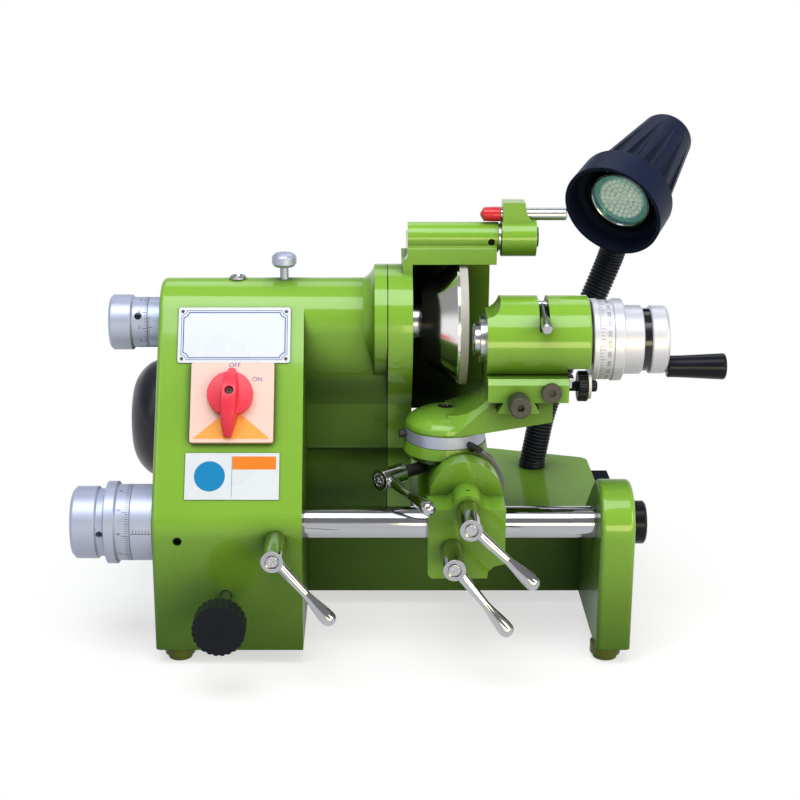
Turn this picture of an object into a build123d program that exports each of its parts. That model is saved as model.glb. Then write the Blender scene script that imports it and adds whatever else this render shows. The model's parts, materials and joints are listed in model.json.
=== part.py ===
from build123d import *
import math
import os

os.makedirs("parts", exist_ok=True)

# Driving dimensions in millimetres: +X right, +Y away from the operator, +Z up
FOOT_H = 12.5
BED_TOP = 78.0
FRONT_Y = -116.5
BAR_Y, BAR_Z, BAR_R = -82.5, 107.0, 12.5
NOSE_R = 34.0
SPIN_Y, SPIN_Z = 9.5, 246.0
HOUSE_R, FLANGE_R = 36.5, 47.5
LOW_WALL_Y = 3.0
BLOCK_X0, BLOCK_X1 = -192.0, -76.0
SEAM_X, GUARD_X = -9.5, 10.5
BACK_Y = 46.0
BED_Y0, BED_Y1 = -2.0, 182.0
BED_X0, BED_X1 = -150.0, 178.0
ARM_X0, ARM_X1 = 154.0, 181.0
MOTOR_Y, MOTOR_Z, MOTOR_R = 108.0, 132.0, 53.0
BELT_X, BELT_W = -50.0, 10.0
QUILL_R, SHAFT_R = 24.0, 11.0
PULLEY_R, MOTOR_PULLEY_R = 16.0, 30.0
RIM_X, WHEEL_R = 54.5, 51.0
DRESS_Y, DRESS_Z, DRESS_OFF = 5.0, 317.5, 18.5
TILT_X, TILT_Z, TILT_R = 51.5, 130.5, 28.5
SWIV_X, SWIV_Y, RING_R = 37.2, -34.0, 32.0
WORK_Y, WORK_Z, WORK_R = -38.0, 244.0, 35.0
HEAD_X0, HEAD_X1 = 67.0, 147.5
FIT = 0.04
GAP = 0.3

BAR_AXIS = Axis((0, BAR_Y, BAR_Z), (1, 0, 0))
SPIN_AXIS = Axis((0, SPIN_Y, SPIN_Z), (1, 0, 0))
WORK_AXIS = Axis((0, WORK_Y, WORK_Z), (1, 0, 0))
SWIV_AXIS = Axis((SWIV_X, SWIV_Y, 0), (0, 0, 1))
BAR_SIDE = Plane((0, BAR_Y, BAR_Z), x_dir=(1, 0, 0), z_dir=(0, -1, 0))
SPIN_SIDE = Plane((0, SPIN_Y, SPIN_Z), x_dir=(1, 0, 0), z_dir=(0, -1, 0))
WORK_SIDE = Plane((0, WORK_Y, WORK_Z), x_dir=(1, 0, 0), z_dir=(0, -1, 0))
MOTOR_SIDE = Plane((0, MOTOR_Y, MOTOR_Z), x_dir=(1, 0, 0), z_dir=(0, -1, 0))
SWIV_SIDE = Plane((SWIV_X, SWIV_Y, 0), x_dir=(1, 0, 0), z_dir=(0, -1, 0))

# The sloping front panel is the common tangent of the bar nose and the spindle housing
LINE_Y, LINE_Z = SPIN_Y - BAR_Y, SPIN_Z - BAR_Z
LINE_L = math.hypot(LINE_Y, LINE_Z)
LEAN = math.asin((NOSE_R - HOUSE_R) / LINE_L)
FACE = math.atan2(LINE_Z, LINE_Y) + math.pi / 2 - LEAN
N_Y, N_Z = math.cos(FACE), math.sin(FACE)
LOW_Y, LOW_Z = BAR_Y + NOSE_R * N_Y, BAR_Z + NOSE_R * N_Z
TOP_Y, TOP_Z = SPIN_Y + HOUSE_R * N_Y, SPIN_Z + HOUSE_R * N_Z
PANEL = Plane((-131.0, LOW_Y, LOW_Z), x_dir=(1, 0, 0), z_dir=(0, N_Y, N_Z))
NAME_S, NAME_W, NAME_H = 143.5, 89.0, 46.0
SWITCH_S, SWITCH_W, SWITCH_T = 87.5, 65.0, 4.0
KNOB_S = 93.0
INFO_S, INFO_W, INFO_H = 29.0, 73.0, 37.0

# Base casting: hollow bed with the right-hand arm that carries the bar
with BuildPart() as base_casting:
    with BuildSketch(Plane.YZ.offset(ARM_X0)):
        with BuildLine():
            Polyline((BED_Y0 + 12, FOOT_H), (FRONT_Y, FOOT_H), (FRONT_Y, BAR_Z))
            arm_top = CenterArc((BAR_Y, BAR_Z), NOSE_R, 180, -130)
            Polyline(arm_top @ 1, (4.9, BED_TOP), (BED_Y0 + 12, FOOT_H))
        make_face()
    extrude(amount=ARM_X1 - ARM_X0)
    rounded = base_casting.edges().filter_by(Axis.X, reverse=True)
    rounded = rounded.filter_by_position(Axis.Z, FOOT_H + 1, 200)
    fillet(rounded.filter_by_position(Axis.Y, FRONT_Y - 1, -30), radius=4)
    with BuildSketch(Plane.XY.offset(FOOT_H)):
        with BuildLine():
            Polyline(
                (BLOCK_X1, BED_Y0),
                (BED_X1, BED_Y0),
                (BED_X1, 154),
                (90, BED_Y1),
                (BED_X0, BED_Y1),
                (BED_X0, BACK_Y),
                (BLOCK_X1, BACK_Y),
                close=True,
            )
        make_face()
    extrude(amount=BED_TOP - FOOT_H)
    corners = base_casting.edges().filter_by(Axis.Z).group_by(Axis.Y)
    fillet(corners[-1] + corners[-2], radius=10)
    with BuildSketch(Plane.YZ.offset(ARM_X0 - 1)):
        with Locations((BAR_Y, BAR_Z)):
            Circle(BAR_R + FIT)
    extrude(amount=ARM_X1 - ARM_X0 + 2, mode=Mode.SUBTRACT)
    with BuildSketch(Plane.XY.offset(FOOT_H)):
        with BuildLine():
            Polyline((-64, 10), (166, 10), (166, 145), (88, 170), (-138, 170), (-138, 58), (-64, 58), close=True)
        make_face()
    extrude(amount=BED_TOP - FOOT_H - 12, mode=Mode.SUBTRACT)
    with BuildSketch(Plane.XY.offset(FOOT_H)):
        with Locations((-100, 155), (152, 134)):
            Circle(16)
    extrude(amount=BED_TOP - FOOT_H - 10)
base_casting.part.label = "base_casting"
export_step(base_casting.part, "parts/base_casting.step")

# Headstock casting: sloped switch block on the left and the spindle housing beside it
with BuildPart() as headstock_casting:
    with BuildSketch(Plane.YZ.offset(BLOCK_X0)):
        with BuildLine():
            Polyline((BACK_Y, FOOT_H), (FRONT_Y, FOOT_H), (FRONT_Y, BAR_Z))
            nose = CenterArc((BAR_Y, BAR_Z), NOSE_R, 180, math.degrees(FACE) - 180)
            Line(nose @ 1, (TOP_Y, TOP_Z))
            crown = CenterArc((SPIN_Y, SPIN_Z), HOUSE_R, math.degrees(FACE), -math.degrees(FACE))
            Line(crown @ 1, (BACK_Y, FOOT_H))
        make_face()
    extrude(amount=BLOCK_X1 - BLOCK_X0)
    left = headstock_casting.edges().filter_by_position(Axis.X, BLOCK_X0 - 1, BLOCK_X0 + 1)
    fillet(left.filter_by_position(Axis.Z, 20, 400), radius=4)
    with BuildSketch(Plane.YZ.offset(BLOCK_X1)):
        with BuildLine():
            Polyline((BACK_Y, BED_TOP), (LOW_WALL_Y, BED_TOP), (LOW_WALL_Y, 138), (-4, 142), (-4, 180))
            Spline((-4, 180), (-20, 208), (SPIN_Y - HOUSE_R, SPIN_Z), tangents=((-0.35, 1), (0, 1)))
            bulge = CenterArc((SPIN_Y, SPIN_Z), HOUSE_R, 180, -180)
            Line(bulge @ 1, (BACK_Y, BED_TOP))
        make_face()
    extrude(amount=SEAM_X - BLOCK_X1)
    with BuildSketch(SPIN_SIDE):
        with BuildLine():
            Line((-36, 0), (-36, HOUSE_R - 1))
            ThreePointArc((-36, HOUSE_R - 1), (-25, 39), (-20, FLANGE_R))
            Polyline((-20, FLANGE_R), (SEAM_X, FLANGE_R), (SEAM_X, 0), (-36, 0))
        make_face()
    revolve(axis=SPIN_AXIS)
    with BuildSketch(Plane.YZ.offset(BLOCK_X0 - 1)):
        with Locations((SPIN_Y, SPIN_Z)):
            Circle(QUILL_R + FIT)
        with Locations((BAR_Y, BAR_Z)):
            Circle(BAR_R + FIT)
    extrude(amount=SEAM_X - BLOCK_X0 + 2, mode=Mode.SUBTRACT)
    with BuildSketch(Plane.XY.offset(SPIN_Z)):
        with Locations((-93, SPIN_Y)):
            Circle(3.9)
        with Locations((-130.7, SPIN_Y)):
            Circle(4)
    extrude(amount=60, mode=Mode.SUBTRACT)
    with BuildSketch(Plane.YZ.offset(BELT_X - 15)):
        with BuildLine():
            Polyline((SPIN_Y, SPIN_Z + 22), (70, SPIN_Z - 10), (70, 150), (30, 170), (-8, SPIN_Z - 22), close=True)
        make_face()
    extrude(amount=30, mode=Mode.SUBTRACT)
    with BuildSketch(PANEL):
        with Locations((-1.5, KNOB_S)):
            Circle(22)
    extrude(amount=-38, mode=Mode.SUBTRACT)
    with BuildSketch(Plane.XZ.offset(-FRONT_Y + 1)):
        with Locations((-171.9, 104)):
            Circle(3.4)
    extrude(amount=-10, mode=Mode.SUBTRACT)
    with BuildSketch(Plane.XZ.offset(-FRONT_Y + 1)):
        with Locations((-96.5, 104.7)):
            Circle(5.3)
    extrude(amount=-22.5, mode=Mode.SUBTRACT)
    with BuildSketch(Plane.XZ.offset(-FRONT_Y + 1)):
        with Locations((-135.4, 59.5)):
            Circle(4.3)
    extrude(amount=-31, mode=Mode.SUBTRACT)
headstock_casting.part.label = "headstock_casting"
export_step(headstock_casting.part, "parts/headstock_casting.step")

# Wheel guard: left plate on the seam, back wall, floor, roof and the dresser boss
with BuildPart() as wheel_guard:
    with BuildSketch(Plane.YZ.offset(SEAM_X)):
        with BuildLine():
            Polyline((74, BED_TOP), (LOW_WALL_Y, BED_TOP), (LOW_WALL_Y, 138), (-4, 142), (-4, 180))
            Spline((-4, 180), (-26, 208), (SPIN_Y - FLANGE_R, SPIN_Z), tangents=((-0.5, 1), (0, 1)))
            brow = CenterArc((SPIN_Y, SPIN_Z), FLANGE_R, 180, -115)
            Polyline(brow @ 1, (74, 270), (74, BED_TOP))
        make_face()
    extrude(amount=GUARD_X - SEAM_X)
    with BuildSketch(Plane.YZ.offset(2.5)):
        with BuildLine():
            Polyline((74, 262), (20, 262), (-8, 288), (-8, 309), (74, 309), close=True)
        make_face()
    extrude(amount=GUARD_X - 2.5)
    with BuildSketch(Plane.YZ.offset(GUARD_X)):
        with BuildLine():
            Polyline(
                (74, 172),
                (10, 172),
                (10, 178.5),
                (67, 178.5),
                (67, 301.5),
                (-3, 301.5),
                (-3, 297.5),
                (-8, 297.5),
                (-8, 309),
                (74, 309),
                close=True,
            )
        make_face()
    extrude(amount=77.5 - GUARD_X)
    with BuildSketch(Plane.YZ.offset(6.5)):
        with Locations((DRESS_Y, DRESS_Z)):
            Circle(12)
    extrude(amount=79 - 6.5)
    with BuildSketch(Plane.YZ.offset(6.5)):
        with Locations((DRESS_Y, 310)):
            Rectangle(20, 6)
    extrude(amount=77.5 - 6.5)
    with BuildSketch(Plane.YZ.offset(SEAM_X - 1)):
        with Locations((SPIN_Y, SPIN_Z)):
            Circle(QUILL_R + 1)
    extrude(amount=GUARD_X - SEAM_X + 2, mode=Mode.SUBTRACT)
    with BuildSketch(Plane.YZ.offset(79)):
        with Locations((DRESS_Y, DRESS_Z)):
            Circle(6 + FIT)
    extrude(amount=-40, mode=Mode.SUBTRACT)
    with BuildSketch(Plane.XZ.offset(20)):
        with Locations((73, DRESS_Z - 2)):
            Circle(2.6)
    extrude(amount=-16, mode=Mode.SUBTRACT)
wheel_guard.part.label = "wheel_guard"
export_step(wheel_guard.part, "parts/wheel_guard.step")

# Levelling feet under the four corners
FEET = ((-174.5, -100), (163.5, -100), (-100, 155), (152, 134))
with BuildPart() as levelling_feet:
    with BuildSketch(Plane.XY):
        with Locations(*FEET):
            Circle(9.5)
    extrude(amount=4)
    with BuildSketch(Plane.XY.offset(4)):
        with Locations(*FEET):
            Circle(12)
    extrude(amount=FOOT_H - 4)
levelling_feet.part.label = "levelling_feet"
export_step(levelling_feet.part, "parts/levelling_feet.step")

# Blank plates on the sloping panel
with BuildPart() as nameplate:
    with BuildSketch(PANEL):
        with Locations((0, NAME_S)):
            RectangleRounded(NAME_W, NAME_H, 2)
    extrude(amount=0.8)
nameplate.part.label = "nameplate"
export_step(nameplate.part, "parts/nameplate.step")

with BuildPart() as info_plate:
    with BuildSketch(PANEL):
        with Locations((0.8, INFO_S)):
            RectangleRounded(INFO_W, INFO_H, 1)
    extrude(amount=0.6)
info_plate.part.label = "info_plate"
export_step(info_plate.part, "parts/info_plate.step")

# Rotary switch: face plate with the switch body behind it, and the turning knob
with BuildPart() as switch_plate:
    with BuildSketch(PANEL):
        with Locations((-0.2, SWITCH_S)):
            RectangleRounded(SWITCH_W, SWITCH_W, 2)
    extrude(amount=SWITCH_T)
    with BuildSketch(PANEL):
        with Locations((-1.5, KNOB_S)):
            Circle(20)
    extrude(amount=-34)
    with BuildSketch(PANEL.offset(SWITCH_T)):
        with Locations((-1.5, KNOB_S)):
            Circle(4.4)
    extrude(amount=-20, mode=Mode.SUBTRACT)
switch_plate.part.label = "switch_plate"
export_step(switch_plate.part, "parts/switch_plate.step")

with BuildPart() as switch_knob:
    with BuildSketch(PANEL.offset(SWITCH_T + GAP)):
        with Locations((-1.5, KNOB_S)):
            Circle(18.8)
    extrude(amount=7, taper=8)
    with BuildSketch(PANEL.offset(SWITCH_T + GAP + 2)):
        with Locations((-1.5, KNOB_S)):
            SlotOverall(54, 13, rotation=90)
    extrude(amount=20, taper=6)
    with BuildSketch(PANEL.offset(SWITCH_T + GAP)):
        with Locations((-1.5, KNOB_S)):
            Circle(4)
    extrude(amount=-16)
switch_knob.part.label = "switch_knob"
export_step(switch_knob.part, "parts/switch_knob.step")

# Sliding quill with a window for the belt, its two bearings and the grinding spindle
with BuildPart() as spindle_quill:
    with BuildSketch(SPIN_SIDE):
        with BuildLine():
            Polyline(
                (-186, 8.4),
                (-186, QUILL_R),
                (-3, QUILL_R),
                (-3, 19.5),
                (-176, 19.5),
                (-176, 8.4),
                close=True,
            )
        make_face()
    revolve(axis=SPIN_AXIS)
    with BuildSketch(Plane.YZ.offset(BELT_X - 14)):
        with BuildLine():
            Polyline(
                (SPIN_Y, SPIN_Z),
                (SPIN_Y + 40, SPIN_Z + 30),
                (SPIN_Y + 40, SPIN_Z - 40),
                (SPIN_Y - 35, SPIN_Z - 40),
                close=True,
            )
        make_face()
    extrude(amount=28, mode=Mode.SUBTRACT)
    with BuildSketch(Plane.XY.offset(SPIN_Z)):
        with Locations((-93, SPIN_Y)):
            SlotOverall(20, 9)
    extrude(amount=40, mode=Mode.SUBTRACT)
spindle_quill.part.label = "spindle_quill"
export_step(spindle_quill.part, "parts/spindle_quill.step")

with BuildPart() as spindle_bearings:
    with BuildSketch(SPIN_SIDE):
        with BuildLine():
            Polyline((-166, SHAFT_R + FIT), (-166, 19.5), (-154, 19.5), (-154, SHAFT_R + FIT), close=True)
        make_face()
        with BuildLine():
            Polyline((-17, SHAFT_R + FIT), (-17, 19.5), (-5, 19.5), (-5, SHAFT_R + FIT), close=True)
        make_face()
    revolve(axis=SPIN_AXIS)
spindle_bearings.part.label = "spindle_bearings"
export_step(spindle_bearings.part, "parts/spindle_bearings.step")

with BuildPart() as wheel_spindle:
    with BuildSketch(SPIN_SIDE):
        with BuildLine():
            Polyline((-168, 0), (-168, SHAFT_R), (27, SHAFT_R), (27, 8), (41, 8), (41, 0), close=True)
        make_face()
    revolve(axis=SPIN_AXIS)
wheel_spindle.part.label = "wheel_spindle"
export_step(wheel_spindle.part, "parts/wheel_spindle.step")

with BuildPart() as spindle_pulley:
    with BuildSketch(SPIN_SIDE):
        with BuildLine():
            Polyline((-61, SHAFT_R), (-61, PULLEY_R), (-39, PULLEY_R), (-39, SHAFT_R), close=True)
        make_face()
    revolve(axis=SPIN_AXIS)
spindle_pulley.part.label = "spindle_pulley"
export_step(spindle_pulley.part, "parts/spindle_pulley.step")

# Flaring cup wheel: polished body, abrasive rim and clamping nut
with BuildPart() as wheel_cup:
    with BuildSketch(SPIN_SIDE):
        with BuildLine():
            Polyline(
                (18, SHAFT_R),
                (18, 29),
                (19, 30),
                (46, WHEEL_R),
                (48, WHEEL_R),
                (48, 43),
                (46, 41),
                (28, 27),
                (27, 25),
                (27, SHAFT_R),
                close=True,
            )
        make_face()
    revolve(axis=SPIN_AXIS)
wheel_cup.part.label = "wheel_cup"
export_step(wheel_cup.part, "parts/wheel_cup.step")

with BuildPart() as wheel_rim:
    with BuildSketch(SPIN_SIDE):
        with BuildLine():
            Polyline((48, 43), (48, WHEEL_R), (RIM_X, WHEEL_R), (RIM_X, 43), close=True)
        make_face()
    revolve(axis=SPIN_AXIS)
wheel_rim.part.label = "wheel_rim"
export_step(wheel_rim.part, "parts/wheel_rim.step")

with BuildPart() as wheel_nut:
    with BuildSketch(SPIN_SIDE):
        with BuildLine():
            Polyline((27, 8), (27, 18), (31, 18), (31, 15), (38, 15), (38, 8), close=True)
        make_face()
    revolve(axis=SPIN_AXIS)
    with BuildSketch(Plane.YZ.offset(31)):
        with Locations((SPIN_Y, SPIN_Z)):
            Circle(30)
            RegularPolygon(14, 6, mode=Mode.SUBTRACT)
    extrude(amount=10, mode=Mode.SUBTRACT)
wheel_nut.part.label = "wheel_nut"
export_step(wheel_nut.part, "parts/wheel_nut.step")

# Motor behind the headstock: body with foot, domed end cover, shaft, pulley, belt and cover
with BuildPart() as motor_body:
    with BuildSketch(MOTOR_SIDE):
        with BuildLine():
            Polyline((-203, 0), (-203, 48), (-80, 48), (-78, 51), (-70, 51), (-66, 46), (-66, 0), close=True)
        make_face()
    revolve(axis=Axis((0, MOTOR_Y, MOTOR_Z), (1, 0, 0)))
    with BuildSketch(Plane.XY.offset(BED_TOP)):
        with Locations((-118, MOTOR_Y)):
            Rectangle(56, 96)
    extrude(amount=8)
    with BuildSketch(Plane.XY.offset(BED_TOP + 8)):
        with Locations((-118, MOTOR_Y)):
            Rectangle(50, 50)
    extrude(amount=20)
    with BuildSketch(Plane.YZ.offset(-66)):
        with Locations((MOTOR_Y, MOTOR_Z)):
            Circle(7 + FIT)
    extrude(amount=-42, mode=Mode.SUBTRACT)
motor_body.part.label = "motor_body"
export_step(motor_body.part, "parts/motor_body.step")

with BuildPart() as motor_end_cover:
    with BuildSketch(MOTOR_SIDE):
        with BuildLine():
            Polyline((-203, 0), (-203, MOTOR_R), (-209, MOTOR_R))
            Spline((-209, MOTOR_R), (-226, 44), (-234, 26), tangents=((-1, -0.1), (-0.1, -1)))
            Polyline((-234, 26), (-234, 0), (-203, 0))
        make_face()
    revolve(axis=Axis((0, MOTOR_Y, MOTOR_Z), (1, 0, 0)))
motor_end_cover.part.label = "motor_end_cover"
export_step(motor_end_cover.part, "parts/motor_end_cover.step")

with BuildPart() as motor_pulley:
    with BuildSketch(Plane.YZ.offset(-104)):
        with Locations((MOTOR_Y, MOTOR_Z)):
            Circle(7)
    extrude(amount=64)
    with BuildSketch(Plane.YZ.offset(BELT_X - 8)):
        with Locations((MOTOR_Y, MOTOR_Z)):
            Circle(MOTOR_PULLEY_R)
    extrude(amount=16)
motor_pulley.part.label = "motor_pulley"
export_step(motor_pulley.part, "parts/motor_pulley.step")

with BuildPart() as drive_belt:
    with BuildSketch(Plane.YZ.offset(BELT_X - BELT_W / 2)):
        with Locations((SPIN_Y, SPIN_Z)):
            Circle(PULLEY_R + GAP + 2)
        with Locations((MOTOR_Y, MOTOR_Z)):
            Circle(MOTOR_PULLEY_R + GAP + 2)
        make_hull()
    extrude(amount=BELT_W)
    with BuildSketch(Plane.YZ.offset(BELT_X - BELT_W / 2)):
        with Locations((SPIN_Y, SPIN_Z)):
            Circle(PULLEY_R + GAP)
        with Locations((MOTOR_Y, MOTOR_Z)):
            Circle(MOTOR_PULLEY_R + GAP)
        make_hull()
    extrude(amount=BELT_W, mode=Mode.SUBTRACT)
drive_belt.part.label = "drive_belt"
export_step(drive_belt.part, "parts/drive_belt.step")

COVER_X0, COVER_X1, COVER_T = -65.0, -33.0, 1.5
with BuildPart() as belt_cover:
    with BuildSketch(Plane.YZ.offset(COVER_X0)):
        with Locations((MOTOR_Y, MOTOR_Z)):
            Circle(40)
        with Locations((52, 256), (52, 150)):
            Circle(6)
        make_hull()
        with Locations((BACK_Y - 25, 200)):
            Rectangle(50, 200, mode=Mode.SUBTRACT)
    extrude(amount=COVER_X1 - COVER_X0)
    with BuildSketch(Plane.YZ.offset(COVER_X0 + COVER_T)):
        with Locations((MOTOR_Y, MOTOR_Z)):
            Circle(40 - COVER_T)
        with Locations((52, 256), (52, 150)):
            Circle(6 - COVER_T)
        make_hull()
        with Locations((30, 203)):
            Rectangle(50, 110)
    extrude(amount=COVER_X1 - COVER_X0 - 2 * COVER_T, mode=Mode.SUBTRACT)
    with BuildSketch(Plane.YZ.offset(COVER_X0 - 1)):
        with Locations((MOTOR_Y, MOTOR_Z)):
            Circle(12)
    extrude(amount=4, mode=Mode.SUBTRACT)
belt_cover.part.label = "belt_cover"
export_step(belt_cover.part, "parts/belt_cover.step")

# Upper left dial: fixed index collar and the turning feed knob of the quill
with BuildPart() as quill_index_collar:
    with BuildSketch(Plane.YZ.offset(-203)):
        with Locations((SPIN_Y, SPIN_Z)):
            Circle(20.5)
            Circle(14, mode=Mode.SUBTRACT)
    extrude(amount=11)
quill_index_collar.part.label = "quill_index_collar"
export_step(quill_index_collar.part, "parts/quill_index_collar.step")

with BuildPart() as quill_feed_knob:
    with BuildSketch(SPIN_SIDE):
        with BuildLine():
            Polyline(
                (-234.5, 0),
                (-234.5, 20.5),
                (-232.5, 22.5),
                (-217, 22.5),
                (-215.5, 20.5),
                (-203.4, 20.5),
                (-203.4, 8),
                (-176.5, 8),
                (-176.5, 0),
                close=True,
            )
        make_face()
    revolve(axis=SPIN_AXIS)
quill_feed_knob.part.label = "quill_feed_knob"
export_step(quill_feed_knob.part, "parts/quill_feed_knob.step")

# Guide bar with its feed dial on the left and the end cap on the right
with BuildPart() as guide_bar:
    with BuildSketch(BAR_SIDE):
        with BuildLine():
            Polyline(
                (-186, 9.4),
                (-186, BAR_R - 1),
                (-185, BAR_R),
                (183, BAR_R),
                (184, BAR_R - 1),
                (184, 0),
                (-140, 0),
                (-140, 9.4),
                close=True,
            )
        make_face()
    revolve(axis=BAR_AXIS)
guide_bar.part.label = "guide_bar"
export_step(guide_bar.part, "parts/guide_bar.step")

with BuildPart() as bar_index_collar:
    with BuildSketch(Plane.YZ.offset(-209)):
        with Locations((BAR_Y, BAR_Z)):
            Circle(30)
            Circle(16, mode=Mode.SUBTRACT)
    extrude(amount=17)
bar_index_collar.part.label = "bar_index_collar"
export_step(bar_index_collar.part, "parts/bar_index_collar.step")

with BuildPart() as bar_feed_knob:
    with BuildSketch(BAR_SIDE):
        with BuildLine():
            Polyline(
                (-256, 0),
                (-256, 26),
                (-253.5, 28.5),
                (-237, 28.5),
                (-235.5, 26.8),
                (-230.5, 26.8),
                (-229, 32.5),
                (-221.5, 32.5),
                (-220, 30),
                (-209.4, 30),
                (-209.4, 9),
                (-170, 9),
                (-170, 0),
                close=True,
            )
        make_face()
    revolve(axis=BAR_AXIS)
    with BuildSketch(Plane.XZ.offset(-BAR_Y + 40)):
        with Locations((-233, BAR_Z)):
            Circle(2.6)
    extrude(amount=-24, mode=Mode.SUBTRACT)
bar_feed_knob.part.label = "bar_feed_knob"
export_step(bar_feed_knob.part, "parts/bar_feed_knob.step")

with BuildPart() as bar_end_cap:
    with BuildSketch(BAR_SIDE):
        with BuildLine():
            Polyline(
                (ARM_X1, 14),
                (ARM_X1, 17),
                (191, 17),
                (192.5, 15.5),
                (192.5, 0),
                (191, 0),
                (191, 14),
                close=True,
            )
        make_face()
    revolve(axis=BAR_AXIS)
bar_end_cap.part.label = "bar_end_cap"
export_step(bar_end_cap.part, "parts/bar_end_cap.step")

# Stop screw at the lower front: steel stud with a round plastic knob
with BuildPart() as stop_stud:
    with BuildSketch(Plane.XZ.offset(170)):
        with Locations((-135.4, 59.5)):
            Circle(4)
    extrude(amount=-78)
stop_stud.part.label = "stop_stud"
export_step(stop_stud.part, "parts/stop_stud.step")

with BuildPart() as stop_knob:
    with BuildSketch(Plane.XZ.offset(166)):
        with Locations((-135.4, 59.5)):
            Circle(20)
            with PolarLocations(21.2, 24):
                Circle(2, mode=Mode.SUBTRACT)
    extrude(amount=16)
    with BuildSketch(Plane.XZ.offset(158)):
        with Locations((-135.4, 59.5)):
            Circle(9)
    extrude(amount=8)
    with BuildSketch(Plane.XZ.offset(150)):
        with Locations((-135.4, 59.5)):
            Circle(4)
    extrude(amount=20, mode=Mode.SUBTRACT)
stop_knob.part.label = "stop_knob"
export_step(stop_knob.part, "parts/stop_knob.step")

# Spindle lock pin and oiler on the crown of the headstock
LOCK_SIDE = Plane((-93, SPIN_Y, 0), x_dir=(1, 0, 0), z_dir=(0, -1, 0))
with BuildPart() as lock_pin:
    with BuildSketch(LOCK_SIDE):
        with BuildLine():
            Polyline((0, 267), (3.5, 267), (3.5, 292.7), (8, 292.7), (10, 295), (10, 300))
            ThreePointArc((10, 300), (8, 302.6), (4, 303.5))
            Polyline((4, 303.5), (0, 303.5), (0, 267))
        make_face()
    revolve(axis=Axis((-93, SPIN_Y, 0), (0, 0, 1)))
lock_pin.part.label = "lock_pin"
export_step(lock_pin.part, "parts/lock_pin.step")

OIL_SIDE = Plane((-130.7, SPIN_Y, 0), x_dir=(1, 0, 0), z_dir=(0, -1, 0))
with BuildPart() as oil_cup:
    with BuildSketch(OIL_SIDE):
        with BuildLine():
            Polyline(
                (0, 274),
                (4, 274),
                (4, 282.5),
                (6.7, 282.5),
                (6.7, 284),
                (5.5, 285),
                (4, 285),
                (3, 283.6),
                (0, 283.6),
                close=True,
            )
        make_face()
    revolve(axis=Axis((-130.7, SPIN_Y, 0), (0, 0, 1)))
oil_cup.part.label = "oil_cup"
export_step(oil_cup.part, "parts/oil_cup.step")

# Connection box for the lamp on the right side of the bed
with BuildPart() as lamp_box:
    with BuildSketch(Plane.YZ.offset(BED_X1)):
        with Locations((107, 46)):
            RectangleRounded(90, 42, 3)
    extrude(amount=19)
lamp_box.part.label = "lamp_box"
export_step(lamp_box.part, "parts/lamp_box.step")

# Chromed clamp levers: turned hub with a recessed screw and a teardrop arm
LEVER_HUB_R, LEVER_STUD_R, LEVER_LEN, BALL_R = 8.5, 5.0, 62.0, 5.9
SWIV_OUT = (-0.741, -0.671, 0.0)
LEVERS = {
    "bar_lock_lever": ((-96.5, FRONT_Y, 104.7), (0, -1, 0), (0.67, -0.155, -0.72), 1.5, 42.0, -19.0),
    "tilt_lock_lever": ((TILT_X, -118.0, TILT_Z), (0, -1, 0), (0.735, -0.155, -0.65), 1.5, 42.0, -34.0),
    "carrier_clamp_lever": ((39.6, -118.0, 98.7), (0, -1, 0), (0.63, -0.155, -0.76), 1.5, 42.0, -18.5),
    "swivel_lock_lever": ((20.9, -48.8, 142.0), SWIV_OUT, (0.49, -0.865, -0.08), 27.0, 50.0, 3.0),
}
for lever_name, (root, out, arm, hub0, hub1, tail) in LEVERS.items():
    with BuildPart() as clamp_lever:
        hub_plane = Plane(root, z_dir=out)
        with BuildSketch(hub_plane.offset(hub0)):
            Circle(LEVER_HUB_R)
        extrude(amount=hub1 - hub0)
        with BuildSketch(hub_plane.offset(tail)):
            Circle(LEVER_STUD_R)
        extrude(amount=hub0 - tail)
        with BuildSketch(hub_plane.offset(hub1)):
            Circle(5.6)
            Circle(4.6, mode=Mode.SUBTRACT)
        extrude(amount=-2.5, mode=Mode.SUBTRACT)
        with BuildSketch(hub_plane.offset(hub1)):
            Circle(4.7)
        extrude(amount=-1.2, mode=Mode.SUBTRACT)
        arm_side = Vector(*arm).cross(Vector(*out))
        arm_plane = Plane(hub_plane.offset(hub1 - 8).origin, x_dir=arm, z_dir=arm_side)
        with BuildSketch(arm_plane):
            with BuildLine():
                Polyline((7, 0), (7, 4.6), (12, 4.1), (37, 3.2))
                Spline((37, 3.2), (47, 4.3), (LEVER_LEN, BALL_R), tangents=((1, 0.06), (1, 0)))
                CenterArc((LEVER_LEN, 0), BALL_R, 0, 90)
                Line((LEVER_LEN + BALL_R, 0), (7, 0))
            make_face()
        revolve(axis=Axis(arm_plane.origin, arm_plane.x_dir))
    clamp_lever.part.label = lever_name
    export_step(clamp_lever.part, "parts/" + lever_name + ".step")

# Wheel dresser: pivot pin in the guard boss, swinging arm, diamond rod and red tip cap
with BuildPart() as dresser_pivot:
    with BuildSketch(Plane.YZ.offset(42)):
        with Locations((DRESS_Y, DRESS_Z)):
            Circle(6)
    extrude(amount=67)
    with BuildSketch(Plane.YZ.offset(79)):
        with Locations((DRESS_Y, DRESS_Z)):
            Circle(11)
    extrude(amount=2)
    with BuildSketch(Plane.YZ.offset(109.2)):
        with Locations((DRESS_Y, DRESS_Z)):
            Circle(8)
    extrude(amount=1.8)
    with BuildSketch(Plane.YZ.offset(108.5)):
        with Locations((DRESS_Y, DRESS_Z)):
            Circle(6)
    extrude(amount=1)
dresser_pivot.part.label = "dresser_pivot"
export_step(dresser_pivot.part, "parts/dresser_pivot.step")

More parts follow.
